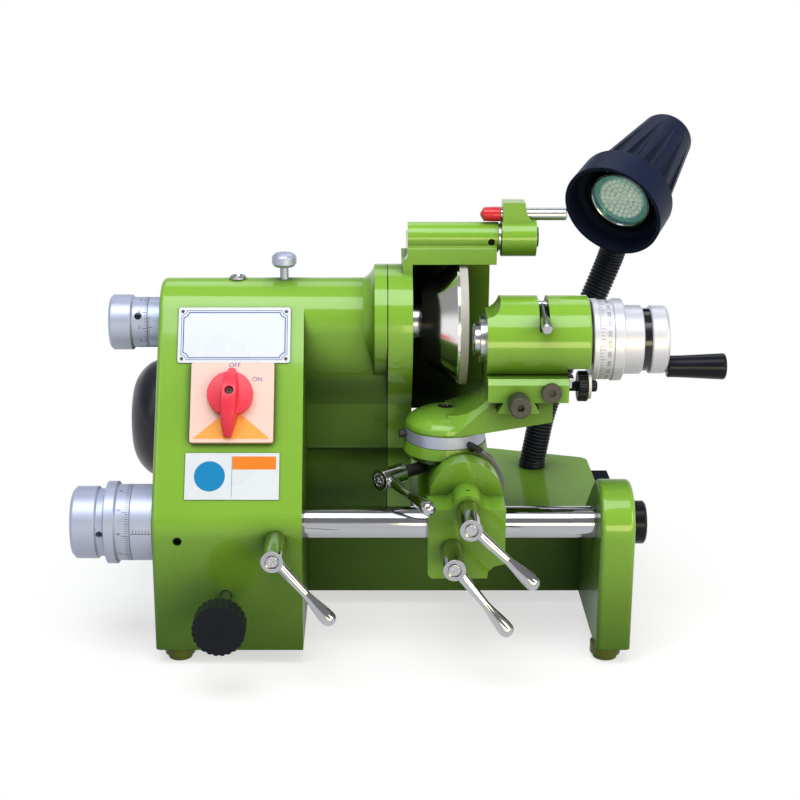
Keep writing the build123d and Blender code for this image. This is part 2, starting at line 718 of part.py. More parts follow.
with BuildPart() as dresser_arm:
    with BuildSketch(Plane.YZ.offset(81.3)):
        with Locations((DRESS_Y, DRESS_Z)):
            Circle(15.5)
    extrude(amount=109 - 81.3)
    with BuildSketch(Plane.XZ.offset(8.5 - DRESS_Y)):
        with BuildLine():
            Polyline((82, DRESS_Z), (82, 346.5), (99.5, 346.5), (101, 338), (109, 326), (109, DRESS_Z), close=True)
        make_face()
    extrude(amount=-17)
    with BuildSketch(Plane.YZ.offset(80)):
        with Locations((DRESS_Y, DRESS_Z + DRESS_OFF)):
            Circle(5 + FIT)
        with Locations((DRESS_Y, DRESS_Z)):
            Circle(6 + FIT)
    extrude(amount=40, mode=Mode.SUBTRACT)
dresser_arm.part.label = "dresser_arm"
export_step(dresser_arm.part, "parts/dresser_arm.step")

ROD_SIDE = Plane((0, DRESS_Y, DRESS_Z + DRESS_OFF), x_dir=(1, 0, 0), z_dir=(0, -1, 0))
ROD_AXIS = Axis((0, DRESS_Y, DRESS_Z + DRESS_OFF), (1, 0, 0))
with BuildPart() as diamond_rod:
    with BuildSketch(ROD_SIDE):
        with BuildLine():
            Polyline((70, 0), (70, 4), (71, 5), (132.5, 5), (133.5, 4), (133.5, 0), close=True)
        make_face()
    revolve(axis=ROD_AXIS)
diamond_rod.part.label = "diamond_rod"
export_step(diamond_rod.part, "parts/diamond_rod.step")

with BuildPart() as diamond_cap:
    with BuildSketch(ROD_SIDE):
        with BuildLine():
            Polyline((70, 0), (70, 4), (71, 5), (81, 5), (81, 5.8), (75, 5.9), (67.2, 5.5), (64.6, 1.4), (64.2, 0), (70, 0))
        make_face()
    revolve(axis=ROD_AXIS)
diamond_cap.part.label = "diamond_cap"
export_step(diamond_cap.part, "parts/diamond_cap.step")

# Carrier on the bar: split bush and the bracket with the tilt face
with BuildPart() as clamp_bush:
    with BuildSketch(Plane.YZ.offset(23)):
        with Locations((BAR_Y, BAR_Z)):
            Circle(16)
            Circle(BAR_R + FIT, mode=Mode.SUBTRACT)
    extrude(amount=55)
clamp_bush.part.label = "clamp_bush"
export_step(clamp_bush.part, "parts/clamp_bush.step")

CARR_X0, CARR_X1, CARR_FRONT, DISC_Y0, DISC_Y1, CARR_BACK = 21.0, 80.5, -118.0, -88.0, -69.5, -64.0
SHELF_Z, HUMP_R, HUMP_FILLET = 131.0, 12.0, 7.0
HUMP_RISE = SHELF_Z + HUMP_FILLET - TILT_Z
HUMP_RUN = math.sqrt((HUMP_R + HUMP_FILLET) ** 2 - HUMP_RISE**2)
HUMP_TURN = math.degrees(math.asin(HUMP_RISE / (HUMP_R + HUMP_FILLET)))
with BuildPart() as carrier_bracket:
    with BuildSketch(Plane.XZ.offset(-CARR_FRONT)):
        with BuildLine():
            swell = CenterArc((TILT_X - HUMP_RUN, SHELF_Z + HUMP_FILLET), HUMP_FILLET, 270, 90 - HUMP_TURN)
            CenterArc((TILT_X, TILT_Z), HUMP_R, 180 - HUMP_TURN, 2 * HUMP_TURN - 180)
            fall = CenterArc((TILT_X + HUMP_RUN, SHELF_Z + HUMP_FILLET), HUMP_FILLET, 180 + HUMP_TURN, 90 - HUMP_TURN)
            Polyline(fall @ 1, (CARR_X1, SHELF_Z), (CARR_X1, 86), (72, 84), (68, 80), (67, 74), (24, 74), (CARR_X0, 77))
            Polyline((CARR_X0, 77), (CARR_X0, SHELF_Z), swell @ 0)
        make_face()
    extrude(amount=CARR_FRONT - DISC_Y0)
    with BuildSketch(Plane.XZ.offset(-DISC_Y0)):
        with BuildLine():
            Polyline((CARR_X0, 77), (CARR_X0, 124), (CARR_X1, 124), (CARR_X1, 86), (67, 74), (24, 74), close=True)
        make_face()
    extrude(amount=DISC_Y0 - CARR_BACK)
    with BuildSketch(Plane.XZ.offset(-DISC_Y0)):
        with Locations((TILT_X, TILT_Z)):
            Circle(TILT_R)
    extrude(amount=DISC_Y0 - DISC_Y1)
    with BuildSketch(Plane.XZ.offset(-DISC_Y1)):
        with Locations((TILT_X, TILT_Z)):
            Circle(14)
    extrude(amount=DISC_Y1 - CARR_BACK)
    with BuildSketch(Plane.YZ.offset(CARR_X0 - 1)):
        with Locations((BAR_Y, BAR_Z)):
            Circle(BAR_R + FIT + 0.5)
    extrude(amount=70, mode=Mode.SUBTRACT)
    with BuildSketch(Plane.YZ.offset(23 - GAP)):
        with Locations((BAR_Y, BAR_Z)):
            Circle(16 + FIT)
    extrude(amount=55 + 2 * GAP, mode=Mode.SUBTRACT)
    with BuildSketch(Plane.XZ.offset(-CARR_FRONT + 1)):
        with Locations((TILT_X, TILT_Z)):
            Circle(5.3)
    extrude(amount=-60, mode=Mode.SUBTRACT)
    with BuildSketch(Plane.XZ.offset(-CARR_FRONT + 1)):
        with Locations((39.6, 98.7)):
            Circle(5.3)
    extrude(amount=-24, mode=Mode.SUBTRACT)
    with BuildSketch(Plane.XY.offset(150)):
        with Locations((TILT_X, -106)):
            Circle(1.6)
    extrude(amount=-14, mode=Mode.SUBTRACT)
carrier_bracket.part.label = "carrier_bracket"
export_step(carrier_bracket.part, "parts/carrier_bracket.step")

# Tilting post with its angle scale and the flared seat of the turntable
with BuildPart() as tilt_post:
    with BuildSketch(Plane.XZ.offset(63.7)):
        with Locations((TILT_X, TILT_Z)):
            Circle(TILT_R)
    extrude(amount=-13.7)
    with BuildSketch(SWIV_SIDE):
        with BuildLine():
            Polyline((0, 106), (20, 106), (22, 108), (22, 145), (30, 147), (34, 152), (32.5, 160.8), (0, 160.8), close=True)
        make_face()
    revolve(axis=SWIV_AXIS)
    with BuildSketch(Plane.XZ.offset(63.7)):
        with Locations((TILT_X, TILT_Z)):
            Circle(5.3)
    extrude(amount=-12, mode=Mode.SUBTRACT)
    with BuildSketch(Plane((20.9, -48.8, 142.0), z_dir=SWIV_OUT)):
        Circle(LEVER_STUD_R + GAP)
    extrude(amount=30, mode=Mode.SUBTRACT)
    with BuildSketch(Plane.XY.offset(161)):
        with Locations((SWIV_X, SWIV_Y)):
            Circle(6 + FIT)
    extrude(amount=-36, mode=Mode.SUBTRACT)
tilt_post.part.label = "tilt_post"
export_step(tilt_post.part, "parts/tilt_post.step")

with BuildPart() as tilt_scale:
    with BuildSketch(Plane.XZ.offset(63.7)):
        with Locations((TILT_X, TILT_Z)):
            Circle(TILT_R + 3)
            Circle(TILT_R, mode=Mode.SUBTRACT)
        with Locations((30, 130)):
            Rectangle(56, 120, mode=Mode.SUBTRACT)
        with Locations((70, 100)):
            Rectangle(60, 40, mode=Mode.SUBTRACT)
    extrude(amount=-6)
    with BuildSketch(Plane.XY.offset(140)):
        with Locations((SWIV_X, SWIV_Y)):
            Circle(34.6)
    extrude(amount=40, mode=Mode.SUBTRACT)
tilt_scale.part.label = "tilt_scale"
export_step(tilt_scale.part, "parts/tilt_scale.step")

# Turntable: graduated ring, pivot screw and the arm with its dovetail bed
SLIDE_X, ARM_TOP, ARM_END = 91.5, 204.0, 119.5
with BuildPart() as swivel_scale:
    with BuildSketch(Plane.XY.offset(161.1)):
        with Locations((SWIV_X, SWIV_Y)):
            Circle(RING_R)
            Circle(7, mode=Mode.SUBTRACT)
    extrude(amount=9.9)
swivel_scale.part.label = "swivel_scale"
export_step(swivel_scale.part, "parts/swivel_scale.step")

with BuildPart() as swivel_arm:
    with BuildSketch(Plane.XZ.offset(-SWIV_Y + RING_R)):
        with BuildLine():
            Polyline((SWIV_X + 4, 171), (66.5, 175), (ARM_END, 184), (ARM_END, ARM_TOP), (70, ARM_TOP))
            Spline((70, ARM_TOP), (58, 193), (SWIV_X, 186), tangents=((-0.6, -0.8), (-1, -0.05)))
            Line((SWIV_X, 186), (SWIV_X + 4, 171))
        make_face()
    extrude(amount=-2 * RING_R)
    for side in (-1, 1):
        edge_y = SWIV_Y + side * RING_R
        with BuildSketch(Plane.YZ.offset(SWIV_X - 4)):
            with BuildLine():
                Polyline((edge_y, 164), (edge_y + side, 210), (edge_y - 30 * side, 210), close=True)
            make_face()
        with BuildSketch(Plane.YZ.offset(76)):
            with BuildLine():
                Polyline((edge_y, 203.5), (edge_y + side, 210), (edge_y - 1.5 * side, 210), close=True)
            make_face()
        loft(ruled=True, mode=Mode.SUBTRACT)
        if side < 0:
            with BuildSketch(SWIV_SIDE):
                with BuildLine():
                    Polyline((0, 171), (RING_R, 171), (RING_R + 0.5, 173), (RING_R, 176))
                    Spline((RING_R, 176), (20, 184.5), (0, 189), tangents=((-0.55, 1), (-1, 0.05)))
                    Line((0, 189), (0, 171))
                make_face()
            revolve(axis=SWIV_AXIS)
    with BuildSketch(Plane.XZ.offset(80)):
        with BuildLine():
            Polyline(
                (SLIDE_X - 17, 195),
                (SLIDE_X + 17, 195),
                (SLIDE_X + 12.5, ARM_TOP + 1),
                (SLIDE_X - 12.5, ARM_TOP + 1),
                close=True,
            )
        make_face()
    extrude(amount=-100, mode=Mode.SUBTRACT)
    with BuildSketch(Plane.XZ.offset(80)):
        with BuildLine():
            Polyline((SLIDE_X - 18, 205), (SLIDE_X - 9, 205), (SLIDE_X - 13.5, 196), close=True)
        make_face()
        with BuildLine():
            Polyline((SLIDE_X + 18, 205), (SLIDE_X + 9, 205), (SLIDE_X + 13.5, 196), close=True)
        make_face()
    extrude(amount=-19, mode=Mode.SUBTRACT)
    with BuildSketch(Plane.XY.offset(200)):
        with Locations((SWIV_X, SWIV_Y)):
            Circle(7)
    extrude(amount=-30, mode=Mode.SUBTRACT)
swivel_arm.part.label = "swivel_arm"
export_step(swivel_arm.part, "parts/swivel_arm.step")

with BuildPart() as swivel_screws:
    with BuildSketch(Plane((SWIV_X, SWIV_Y, 165.5), z_dir=(0.55, -0.83, -0.05)).offset(RING_R - 0.6)):
        Circle(2.6)
    extrude(amount=15)
    with BuildSketch(Plane((SWIV_X, SWIV_Y, 166.5), z_dir=(-1, -0.15, 0)).offset(RING_R - 0.6)):
        Circle(2)
    extrude(amount=5)
    with BuildSketch(Plane((SWIV_X, SWIV_Y, 166.5), z_dir=(-1, -0.15, 0)).offset(RING_R + 2)):
        Circle(3.6)
    extrude(amount=4)
    with BuildSketch(Plane.XY.offset(150)):
        with Locations((SWIV_X, SWIV_Y)):
            Circle(RING_R)
    extrude(amount=40, mode=Mode.SUBTRACT)
    with BuildSketch(Plane.XY.offset(130)):
        with Locations((SWIV_X, SWIV_Y)):
            Circle(6)
    extrude(amount=32)
    with BuildSketch(Plane.XY.offset(161.5)):
        with Locations((SWIV_X, SWIV_Y)):
            Circle(7)
    extrude(amount=26)
    with BuildSketch(Plane.XY.offset(187.5)):
        with Locations((SWIV_X, SWIV_Y)):
            RegularPolygon(3.4, 6)
    extrude(amount=-5, mode=Mode.SUBTRACT)
swivel_screws.part.label = "swivel_screws"
export_step(swivel_screws.part, "parts/swivel_screws.step")

# Cross slide on the dovetail, its feed knob and the lock plug
BLOCK_TOP = 222.5
with BuildPart() as cross_slide:
    with BuildSketch(Plane.YZ.offset(67.5)):
        with BuildLine():
            Polyline(
                (-80, ARM_TOP + GAP),
                (-80, 218.5),
                (-76, BLOCK_TOP),
                (-2, BLOCK_TOP),
                (-2, ARM_TOP + GAP),
                close=True,
            )
        make_face()
    extrude(amount=130 - 67.5)
    with BuildSketch(Plane.XZ.offset(80)):
        with BuildLine():
            Polyline(
                (SLIDE_X - 16.5, 195.4),
                (SLIDE_X + 16.5, 195.4),
                (SLIDE_X + 12.05, ARM_TOP + GAP),
                (SLIDE_X - 12.05, ARM_TOP + GAP),
                close=True,
            )
        make_face()
    extrude(amount=-78)
    with BuildSketch(Plane.XY.offset(BLOCK_TOP)):
        with Locations((98, WORK_Y)):
            Rectangle(60, 46)
    extrude(amount=1)
    with BuildSketch(Plane.XZ.offset(81)):
        with Locations((SLIDE_X, 205)):
            Circle(5 + GAP)
    extrude(amount=-25, mode=Mode.SUBTRACT)
    with BuildSketch(Plane.XZ.offset(81)):
        with Locations((116.5, 213)):
            Circle(4)
    extrude(amount=-13, mode=Mode.SUBTRACT)
    with BuildSketch(Plane.YZ.offset(131)):
        with Locations((-60, 212.2)):
            Circle(4 + GAP)
    extrude(amount=-15, mode=Mode.SUBTRACT)
cross_slide.part.label = "cross_slide"
export_step(cross_slide.part, "parts/cross_slide.step")

with BuildPart() as cross_feed_knob:
    with BuildSketch(Plane.XZ.offset(80 + GAP)):
        with Locations((SLIDE_X, 205)):
            Circle(8.3)
    extrude(amount=16)
    chamfer(cross_feed_knob.edges().filter_by(GeomType.CIRCLE), 0.8)
    with BuildSketch(Plane.XZ.offset(81)):
        with Locations((SLIDE_X, 205)):
            Circle(5)
    extrude(amount=-22)
    with BuildSketch(Plane.XZ.offset(80 + GAP + 16)):
        with Locations((SLIDE_X, 205)):
            RegularPolygon(3.2, 6)
    extrude(amount=-5, mode=Mode.SUBTRACT)
cross_feed_knob.part.label = "cross_feed_knob"
export_step(cross_feed_knob.part, "parts/cross_feed_knob.step")

with BuildPart() as gib_plug:
    with BuildSketch(Plane.XZ.offset(80)):
        with Locations((116.5, 213)):
            Circle(7.5)
    extrude(amount=4)
    with BuildSketch(Plane.XZ.offset(80)):
        with Locations((116.5, 213)):
            Circle(4)
    extrude(amount=-11)
    with BuildSketch(Plane.XZ.offset(84)):
        with Locations((116.5, 213)):
            RegularPolygon(3.2, 6)
    extrude(amount=-2.5, mode=Mode.SUBTRACT)
gib_plug.part.label = "gib_plug"
export_step(gib_plug.part, "parts/gib_plug.step")

# Work head: split housing, hollow spindle and the clamp handle in the slot
SPINDLE_R, DIAL_BORE_R, COLLET_R, TOOL_R = 20.0, 12.0, 10.0, 5.0
CLAMP_X, CLAMP_Z = 111.3, 271.9
HEAD_FLAT = BLOCK_TOP + 1
NOSE_TOP, NOSE_X = 268.0, 78.0
with BuildPart() as head_housing:
    with BuildSketch(WORK_SIDE):
        with BuildLine():
            Polyline((HEAD_X0, SPINDLE_R + FIT), (HEAD_X0, 25))
            ThreePointArc((HEAD_X0, 25), (73.5, 28.5), (NOSE_X, WORK_R))
            Polyline((NOSE_X, WORK_R), (146.5, WORK_R), (HEAD_X1, WORK_R - 1))
            Polyline((HEAD_X1, WORK_R - 1), (HEAD_X1, SPINDLE_R + FIT), (HEAD_X0, SPINDLE_R + FIT))
        make_face()
    revolve(axis=WORK_AXIS)
    with BuildSketch(Plane.YZ.offset(HEAD_X0)):
        with BuildLine():
            front = CenterArc((WORK_Y, WORK_Z), WORK_R, 90, 180)
            Line(front @ 1, front @ 0)
        make_face()
        with Locations((WORK_Y, WORK_Z)):
            Circle(SPINDLE_R + FIT, mode=Mode.SUBTRACT)
    extrude(amount=NOSE_X + 1 - HEAD_X0)
    with BuildSketch(Plane.XZ.offset(90)):
        with BuildLine():
            Polyline((60, 200), (60, HEAD_FLAT), (129.5, HEAD_FLAT), (129.5, 228.5), (160, 228.5), (160, 200), close=True)
        make_face()
    extrude(amount=-100, mode=Mode.SUBTRACT)
    with BuildSketch(Plane.YZ.offset(CLAMP_X - 3.9)):
        with BuildLine():
            Polyline((-80, 258), (-80, 290), (0, 290), (0, 266.5), (-46, 266.5), (-58, 258), close=True)
        make_face()
    extrude(amount=7.8, mode=Mode.SUBTRACT)
    with BuildSketch(Plane.XZ.offset(90)):
        with BuildLine():
            Polyline((NOSE_X, 290), (60, 290), (60, NOSE_TOP), (HEAD_X0 + 1, NOSE_TOP))
            ThreePointArc((HEAD_X0 + 1, NOSE_TOP), (75, NOSE_TOP + 3), (NOSE_X, 278))
            Line((NOSE_X, 278), (NOSE_X, 290))
        make_face()
    extrude(amount=-100, mode=Mode.SUBTRACT)
    with BuildSketch(Plane.YZ.offset(CLAMP_X - 8.5)):
        with Locations((WORK_Y, CLAMP_Z)):
            Circle(3.5 + GAP)
    extrude(amount=17, mode=Mode.SUBTRACT)
head_housing.part.label = "head_housing"
export_step(head_housing.part, "parts/head_housing.step")

HANDLE_DIR = (0, -0.984, -0.18)
with BuildPart() as spindle_clamp_handle:
    with BuildSketch(Plane.YZ.offset(CLAMP_X - 8)):
        with Locations((WORK_Y, CLAMP_Z)):
            Circle(3.5)
    extrude(amount=16)
    handle_plane = Plane((CLAMP_X, WORK_Y, CLAMP_Z), x_dir=HANDLE_DIR, z_dir=(1, 0, 0))
    with BuildSketch(handle_plane):
        with BuildLine():
            Polyline((0, 0), (0, 2.7), (16, 2.7), (38, 4.2), (45.4, 4.2), (46.4, 3.4), (46.4, 0), (0, 0))
        make_face()
    revolve(axis=Axis(handle_plane.origin, handle_plane.x_dir))
spindle_clamp_handle.part.label = "spindle_clamp_handle"
export_step(spindle_clamp_handle.part, "parts/spindle_clamp_handle.step")

with BuildPart() as work_spindle:
    with BuildSketch(WORK_SIDE):
        with BuildLine():
            Polyline(
                (63, COLLET_R),
                (63, 18.5),
                (HEAD_X0 - GAP, 18.5),
                (HEAD_X0 - GAP, SPINDLE_R),
                (149.4, SPINDLE_R),
                (149.4, DIAL_BORE_R),
                (200, DIAL_BORE_R),
                (200, 8),
                (92, 8),
                (92, COLLET_R),
                close=True,
            )
        make_face()
    revolve(axis=WORK_AXIS)
work_spindle.part.label = "work_spindle"
export_step(work_spindle.part, "parts/work_spindle.step")

with BuildPart() as collet:
    with BuildSketch(WORK_SIDE):
        with BuildLine():
            Polyline(
                (58, TOOL_R),
                (58, 11.6),
                (59, 12.6),
                (63, 12.6),
                (63, COLLET_R),
                (90, COLLET_R),
                (90, TOOL_R),
                close=True,
            )
        make_face()
    revolve(axis=WORK_AXIS)
collet.part.label = "collet"
export_step(collet.part, "parts/collet.step")

with BuildPart() as index_dial:
    with BuildSketch(WORK_SIDE):
        with BuildLine():
            Polyline(
                (149.4, DIAL_BORE_R),
                (149.4, 31.6),
                (150.2, 32.4),
                (154, 32.4),
                (154.6, 31.4),
                (165.4, 31.4),
                (166, 32.4),
                (173.2, 32.4),
                (174, 31.6),
                (174, 27.2),
                (188.7, 27.2),
                (189.7, 26.2),
                (189.7, 24.8),
                (195.5, 24.8),
                (195.5, DIAL_BORE_R),
                close=True,
            )
        make_face()
    revolve(axis=WORK_AXIS)
index_dial.part.label = "index_dial"
export_step(index_dial.part, "parts/index_dial.step")

GRIP_Y, GRIP_Z, GRIP_END, GRIP_PIN_R = -48.0, 224.7, 256.0, 4.0
with BuildPart() as crank_disc:
    with BuildSketch(WORK_SIDE):
        with BuildLine():
            Polyline((195.5, DIAL_BORE_R), (195.5, 25.8), (196.5, 26.8), (206.5, 26.8))
            ThreePointArc((206.5, 26.8), (208.7, 25.9), (209.6, 23.5))
            Polyline((209.6, 23.5), (209.6, 0), (200, 0), (200, DIAL_BORE_R), (195.5, DIAL_BORE_R))
        make_face()
    revolve(axis=WORK_AXIS)
    with BuildSketch(Plane.YZ.offset(209)):
        with Locations((GRIP_Y, GRIP_Z)):
            Circle(GRIP_PIN_R)
    extrude(amount=26)
crank_disc.part.label = "crank_disc"
export_step(crank_disc.part, "parts/crank_disc.step")

GRIP_SIDE = Plane((0, GRIP_Y, GRIP_Z), x_dir=(1, 0, 0), z_dir=(0, -1, 0))
with BuildPart() as crank_grip:
    with BuildSketch(GRIP_SIDE):
        with BuildLine():
            Polyline((210, GRIP_PIN_R + FIT), (210, 8), (211, 8.6))
            Spline((211, 8.6), (232, 9.3), (253.6, 10.4), tangents=((1, 0), (1, 0.05)))
            ThreePointArc((253.6, 10.4), (255.3, 9.8), (GRIP_END, 8.2))
            Polyline((GRIP_END, 8.2), (GRIP_END, 0), (236, 0), (236, GRIP_PIN_R + FIT), (210, GRIP_PIN_R + FIT))
        make_face()
    revolve(axis=Axis((0, GRIP_Y, GRIP_Z), (1, 0, 0)))
crank_grip.part.label = "crank_grip"
export_step(crank_grip.part, "parts/crank_grip.step")

PLUNGE_SIDE = Plane((0, -60, 212.2), x_dir=(1, 0, 0), z_dir=(0, -1, 0))
with BuildPart() as index_plunger:
    with BuildSketch(PLUNGE_SIDE):
        with BuildLine():
            Polyline(
                (121, 0),
                (121, 4),
                (138.5, 4),
                (138.5, 11.2),
                (139.3, 12),
                (145.7, 12),
                (146.5, 11.2),
                (146.5, 10),
                (148.8, 10),
                (148.8, 4.5),
                (153, 4.5),
                (154, 3.5),
                (154, 0),
                close=True,
            )
        make_face()
    revolve(axis=Axis((0, -60, 212.2), (1, 0, 0)))
index_plunger.part.label = "index_plunger"
export_step(index_plunger.part, "parts/index_plunger.step")

# Lamp: hollow ribbed shade with its side boss, reflector bulb and wound gooseneck
MOUTH, LAMP_BACK = Vector(178, 60, 328), Vector(0.5, 0.75, 0.4330127)
SHADE_R, CONE_R, TAIL_R, SHADE_LEN, BULB_R = 43.0, 37.0, 21.5, 122.0, 25.0
COLLAR_LEN, SCOOPS, SCOOP_W = 28.0, 14, 6.4
NECK_END, BOSS_DIR = Vector(194.1, 119.0, 299.8), Vector(0.2, -0.36, 0.911)
LAMP_FACE = Plane(MOUTH, x_dir=(0.832, -0.555, 0), z_dir=LAMP_BACK)
LAMP_CUT = Plane(MOUTH, x_dir=LAMP_FACE.x_dir, z_dir=LAMP_FACE.y_dir * -1)
LAMP_AXIS = Axis(MOUTH, LAMP_BACK)
with BuildPart() as lamp_shade:
    with BuildSketch(Plane(NECK_END, z_dir=BOSS_DIR)):
        Circle(13)
    extrude(amount=24)
    with BuildSketch(LAMP_CUT):
        with BuildLine():
            Polyline((0, 0), (SHADE_R, 0), (SHADE_R - 1, COLLAR_LEN), (CONE_R, COLLAR_LEN + 1), (TAIL_R + 2, 112))
            ThreePointArc((TAIL_R + 2, 112), (TAIL_R - 1.5, SHADE_LEN - 2.5), (13, SHADE_LEN))
            Polyline((13, SHADE_LEN), (0, SHADE_LEN), (0, 0))
        make_face()
    revolve(axis=LAMP_AXIS)
    scoop_low = Plane(LAMP_AXIS.position + LAMP_BACK * (COLLAR_LEN + 1), x_dir=LAMP_FACE.x_dir, z_dir=LAMP_BACK)
    scoop_top = Plane(LAMP_AXIS.position + LAMP_BACK * 108, x_dir=LAMP_FACE.x_dir, z_dir=LAMP_BACK)
    for turn in range(SCOOPS):
        with BuildSketch(scoop_low):
            with PolarLocations(CONE_R + 2.5, 1, start_angle=turn * 360 / SCOOPS):
                Ellipse(6.8, SCOOP_W)
        with BuildSketch(scoop_top):
            with PolarLocations(TAIL_R + 6.2, 1, start_angle=turn * 360 / SCOOPS):
                Ellipse(3.4, 2.0)
        loft(mode=Mode.SUBTRACT)
    with BuildSketch(LAMP_CUT):
        with BuildLine():
            Polyline((0, -1), (40, -1), (39, 16), (33.5, 18), (32.5, 22), (29, 24), (28, 58), (0, 58), close=True)
        make_face()
    revolve(axis=LAMP_AXIS, mode=Mode.SUBTRACT)
lamp_shade.part.label = "lamp_shade"
export_step(lamp_shade.part, "parts/lamp_shade.step")

with BuildPart() as lamp_bulb:
    with BuildSketch(LAMP_CUT):
        with BuildLine():
            Polyline((0, 20), (24, 20), (BULB_R, 21), (BULB_R, 24))
            Spline((BULB_R, 24), (19, 38), (11, 48), tangents=((-0.2, 1), (-0.5, 1)))
            Polyline((11, 48), (11, 58), (0, 58), (0, 20))
        make_face()
    revolve(axis=LAMP_AXIS)
lamp_bulb.part.label = "lamp_bulb"
export_step(lamp_bulb.part, "parts/lamp_bulb.step")

NECK_X, NECK_Y, NECK_Z = 125.5, 132.0, 82.0
NECK_CREST, NECK_ROOT, NECK_BORE, NECK_STRAIGHT, RIBS, BORE_STEPS = 11.5, 10.1, 7.0, 22.4, 80, 28
FOOT_STRAIGHT, FERRULE_R = 12.0, 13.0
RIB_FORM = ((0, NECK_ROOT), (0.25, NECK_CREST), (0.6, NECK_CREST), (0.85, NECK_ROOT))
NECK_TOP = NECK_END - BOSS_DIR.normalized() * NECK_STRAIGHT
with BuildLine() as neck_path:
    Line((NECK_X, NECK_Y, NECK_Z), (NECK_X, NECK_Y, NECK_Z + FOOT_STRAIGHT))
    Spline(
        (NECK_X, NECK_Y, NECK_Z + FOOT_STRAIGHT),
        (131, 132, 120),
        (148.1, 132, 169.7),
        (168.9, 131, 221.6),
        NECK_TOP,
        tangents=((0, 0, 1), BOSS_DIR),
    )
    Line(NECK_TOP, NECK_END)
neck_wire = neck_path.wires()[0]
with BuildPart() as lamp_gooseneck:
    for rib in range(RIBS):
        for share, radius in RIB_FORM:
            place = (rib + share) / RIBS
            with BuildSketch(Plane(neck_wire @ place, x_dir=(0, -1, 0), z_dir=neck_wire % place)):
                Circle(radius)
    with BuildSketch(Plane(neck_wire @ 1, x_dir=(0, -1, 0), z_dir=neck_wire % 1)):
        Circle(NECK_ROOT)
    loft(ruled=True)
    with BuildSketch(Plane.XY.offset(BED_TOP)):
        with Locations((NECK_X, NECK_Y)):
            Circle(FERRULE_R)
    extrude(amount=NECK_Z - BED_TOP)
    for step in range(BORE_STEPS + 1):
        place = step / BORE_STEPS
        with BuildSketch(Plane(neck_wire @ place, x_dir=(0, -1, 0), z_dir=neck_wire % place)):
            Circle(NECK_BORE)
    loft(ruled=True, mode=Mode.SUBTRACT)
lamp_gooseneck.part.label = "lamp_gooseneck"
export_step(lamp_gooseneck.part, "parts/lamp_gooseneck.step")
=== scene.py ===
import json
import math

import bpy
from mathutils import Matrix, Vector

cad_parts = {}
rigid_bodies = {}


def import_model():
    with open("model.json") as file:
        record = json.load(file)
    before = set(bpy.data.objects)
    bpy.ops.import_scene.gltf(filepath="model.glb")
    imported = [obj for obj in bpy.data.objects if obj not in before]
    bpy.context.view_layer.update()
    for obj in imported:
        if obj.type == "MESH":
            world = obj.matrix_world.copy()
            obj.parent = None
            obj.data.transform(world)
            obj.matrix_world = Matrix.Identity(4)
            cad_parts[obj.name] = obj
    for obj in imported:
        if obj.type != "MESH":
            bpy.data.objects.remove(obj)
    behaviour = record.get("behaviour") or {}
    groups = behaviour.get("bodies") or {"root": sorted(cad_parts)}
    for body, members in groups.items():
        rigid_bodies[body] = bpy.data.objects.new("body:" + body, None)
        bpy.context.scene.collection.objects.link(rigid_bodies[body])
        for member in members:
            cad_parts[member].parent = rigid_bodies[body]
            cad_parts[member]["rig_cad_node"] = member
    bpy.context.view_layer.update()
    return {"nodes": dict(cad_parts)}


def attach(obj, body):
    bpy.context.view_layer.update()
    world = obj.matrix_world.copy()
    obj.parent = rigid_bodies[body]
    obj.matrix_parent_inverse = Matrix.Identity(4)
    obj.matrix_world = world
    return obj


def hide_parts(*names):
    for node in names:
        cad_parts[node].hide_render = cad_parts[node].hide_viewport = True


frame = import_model()

# Castings: bed with its right-hand arm, headstock, wheel guard and the moving brackets.
# Grey iron, filled, rubbed down and sprayed with a glossy yellow-green machine enamel.
# The enamel lies thick, so it has a slight orange peel and slow waves over the filler.
MM = 0.001


class Signal:
    """A socket of a finish's node tree; its operators add Math nodes."""

    def __init__(self, tree, socket=None):
        self.tree = tree
        self.socket = socket

    def node(self, kind, settings, sockets, out=0):
        made = self.tree.nodes.new(kind)
        for key, value in settings.items():
            setattr(made, key, value)
        for key, value in sockets.items():
            if isinstance(value, Signal):
                self.tree.links.new(value.socket, made.inputs[key])
            else:
                made.inputs[key].default_value = value
        return Signal(self.tree, made.outputs[out])

    def maths(self, operation, first, second=0.0):
        return self.node("ShaderNodeMath", {"operation": operation}, {0: first, 1: second})

    def __add__(self, other):
        return self.maths("ADD", self, other)

    def __radd__(self, other):
        return self.maths("ADD", other, self)

    def __sub__(self, other):
        return self.maths("SUBTRACT", self, other)

    def __rsub__(self, other):
        return self.maths("SUBTRACT", other, self)

    def __mul__(self, other):
        return self.maths("MULTIPLY", self, other)

    def __rmul__(self, other):
        return self.maths("MULTIPLY", other, self)

    def __truediv__(self, other):
        return self.maths("DIVIDE", self, other)

    def __lt__(self, other):
        return self.maths("LESS_THAN", self, other)

    def __gt__(self, other):
        return self.maths("GREATER_THAN", self, other)

    def __abs__(self):
        return self.maths("ABSOLUTE", self)

    def within(self, low, high):
        return (self > low) * (self < high)

    def tint(self, low, high):
        ends = [end if isinstance(end, Signal) else end + (1.0,) for end in (low, high)]
        sockets = {0: self, 6: ends[0], 7: ends[1]}
        return self.node("ShaderNodeMix", {"data_type": "RGBA"}, sockets, out=2)

    def vector(self, operation, other=(0, 0, 0), out=0):
        return self.node("ShaderNodeVectorMath", {"operation": operation}, {0: self, 1: other}, out)

    def split(self):
        parts = self.node("ShaderNodeSeparateXYZ", {}, {0: self}).socket.node
        return [Signal(self.tree, out) for out in parts.outputs]


def start_finish(name):
    """An empty finish: its material and the place on the piece, in metres."""
    material = bpy.data.materials.new(name)
    material.use_nodes = True
    place = Signal(material.node_tree).node("ShaderNodeTexCoord", {}, {}, out=3)
    return material, place


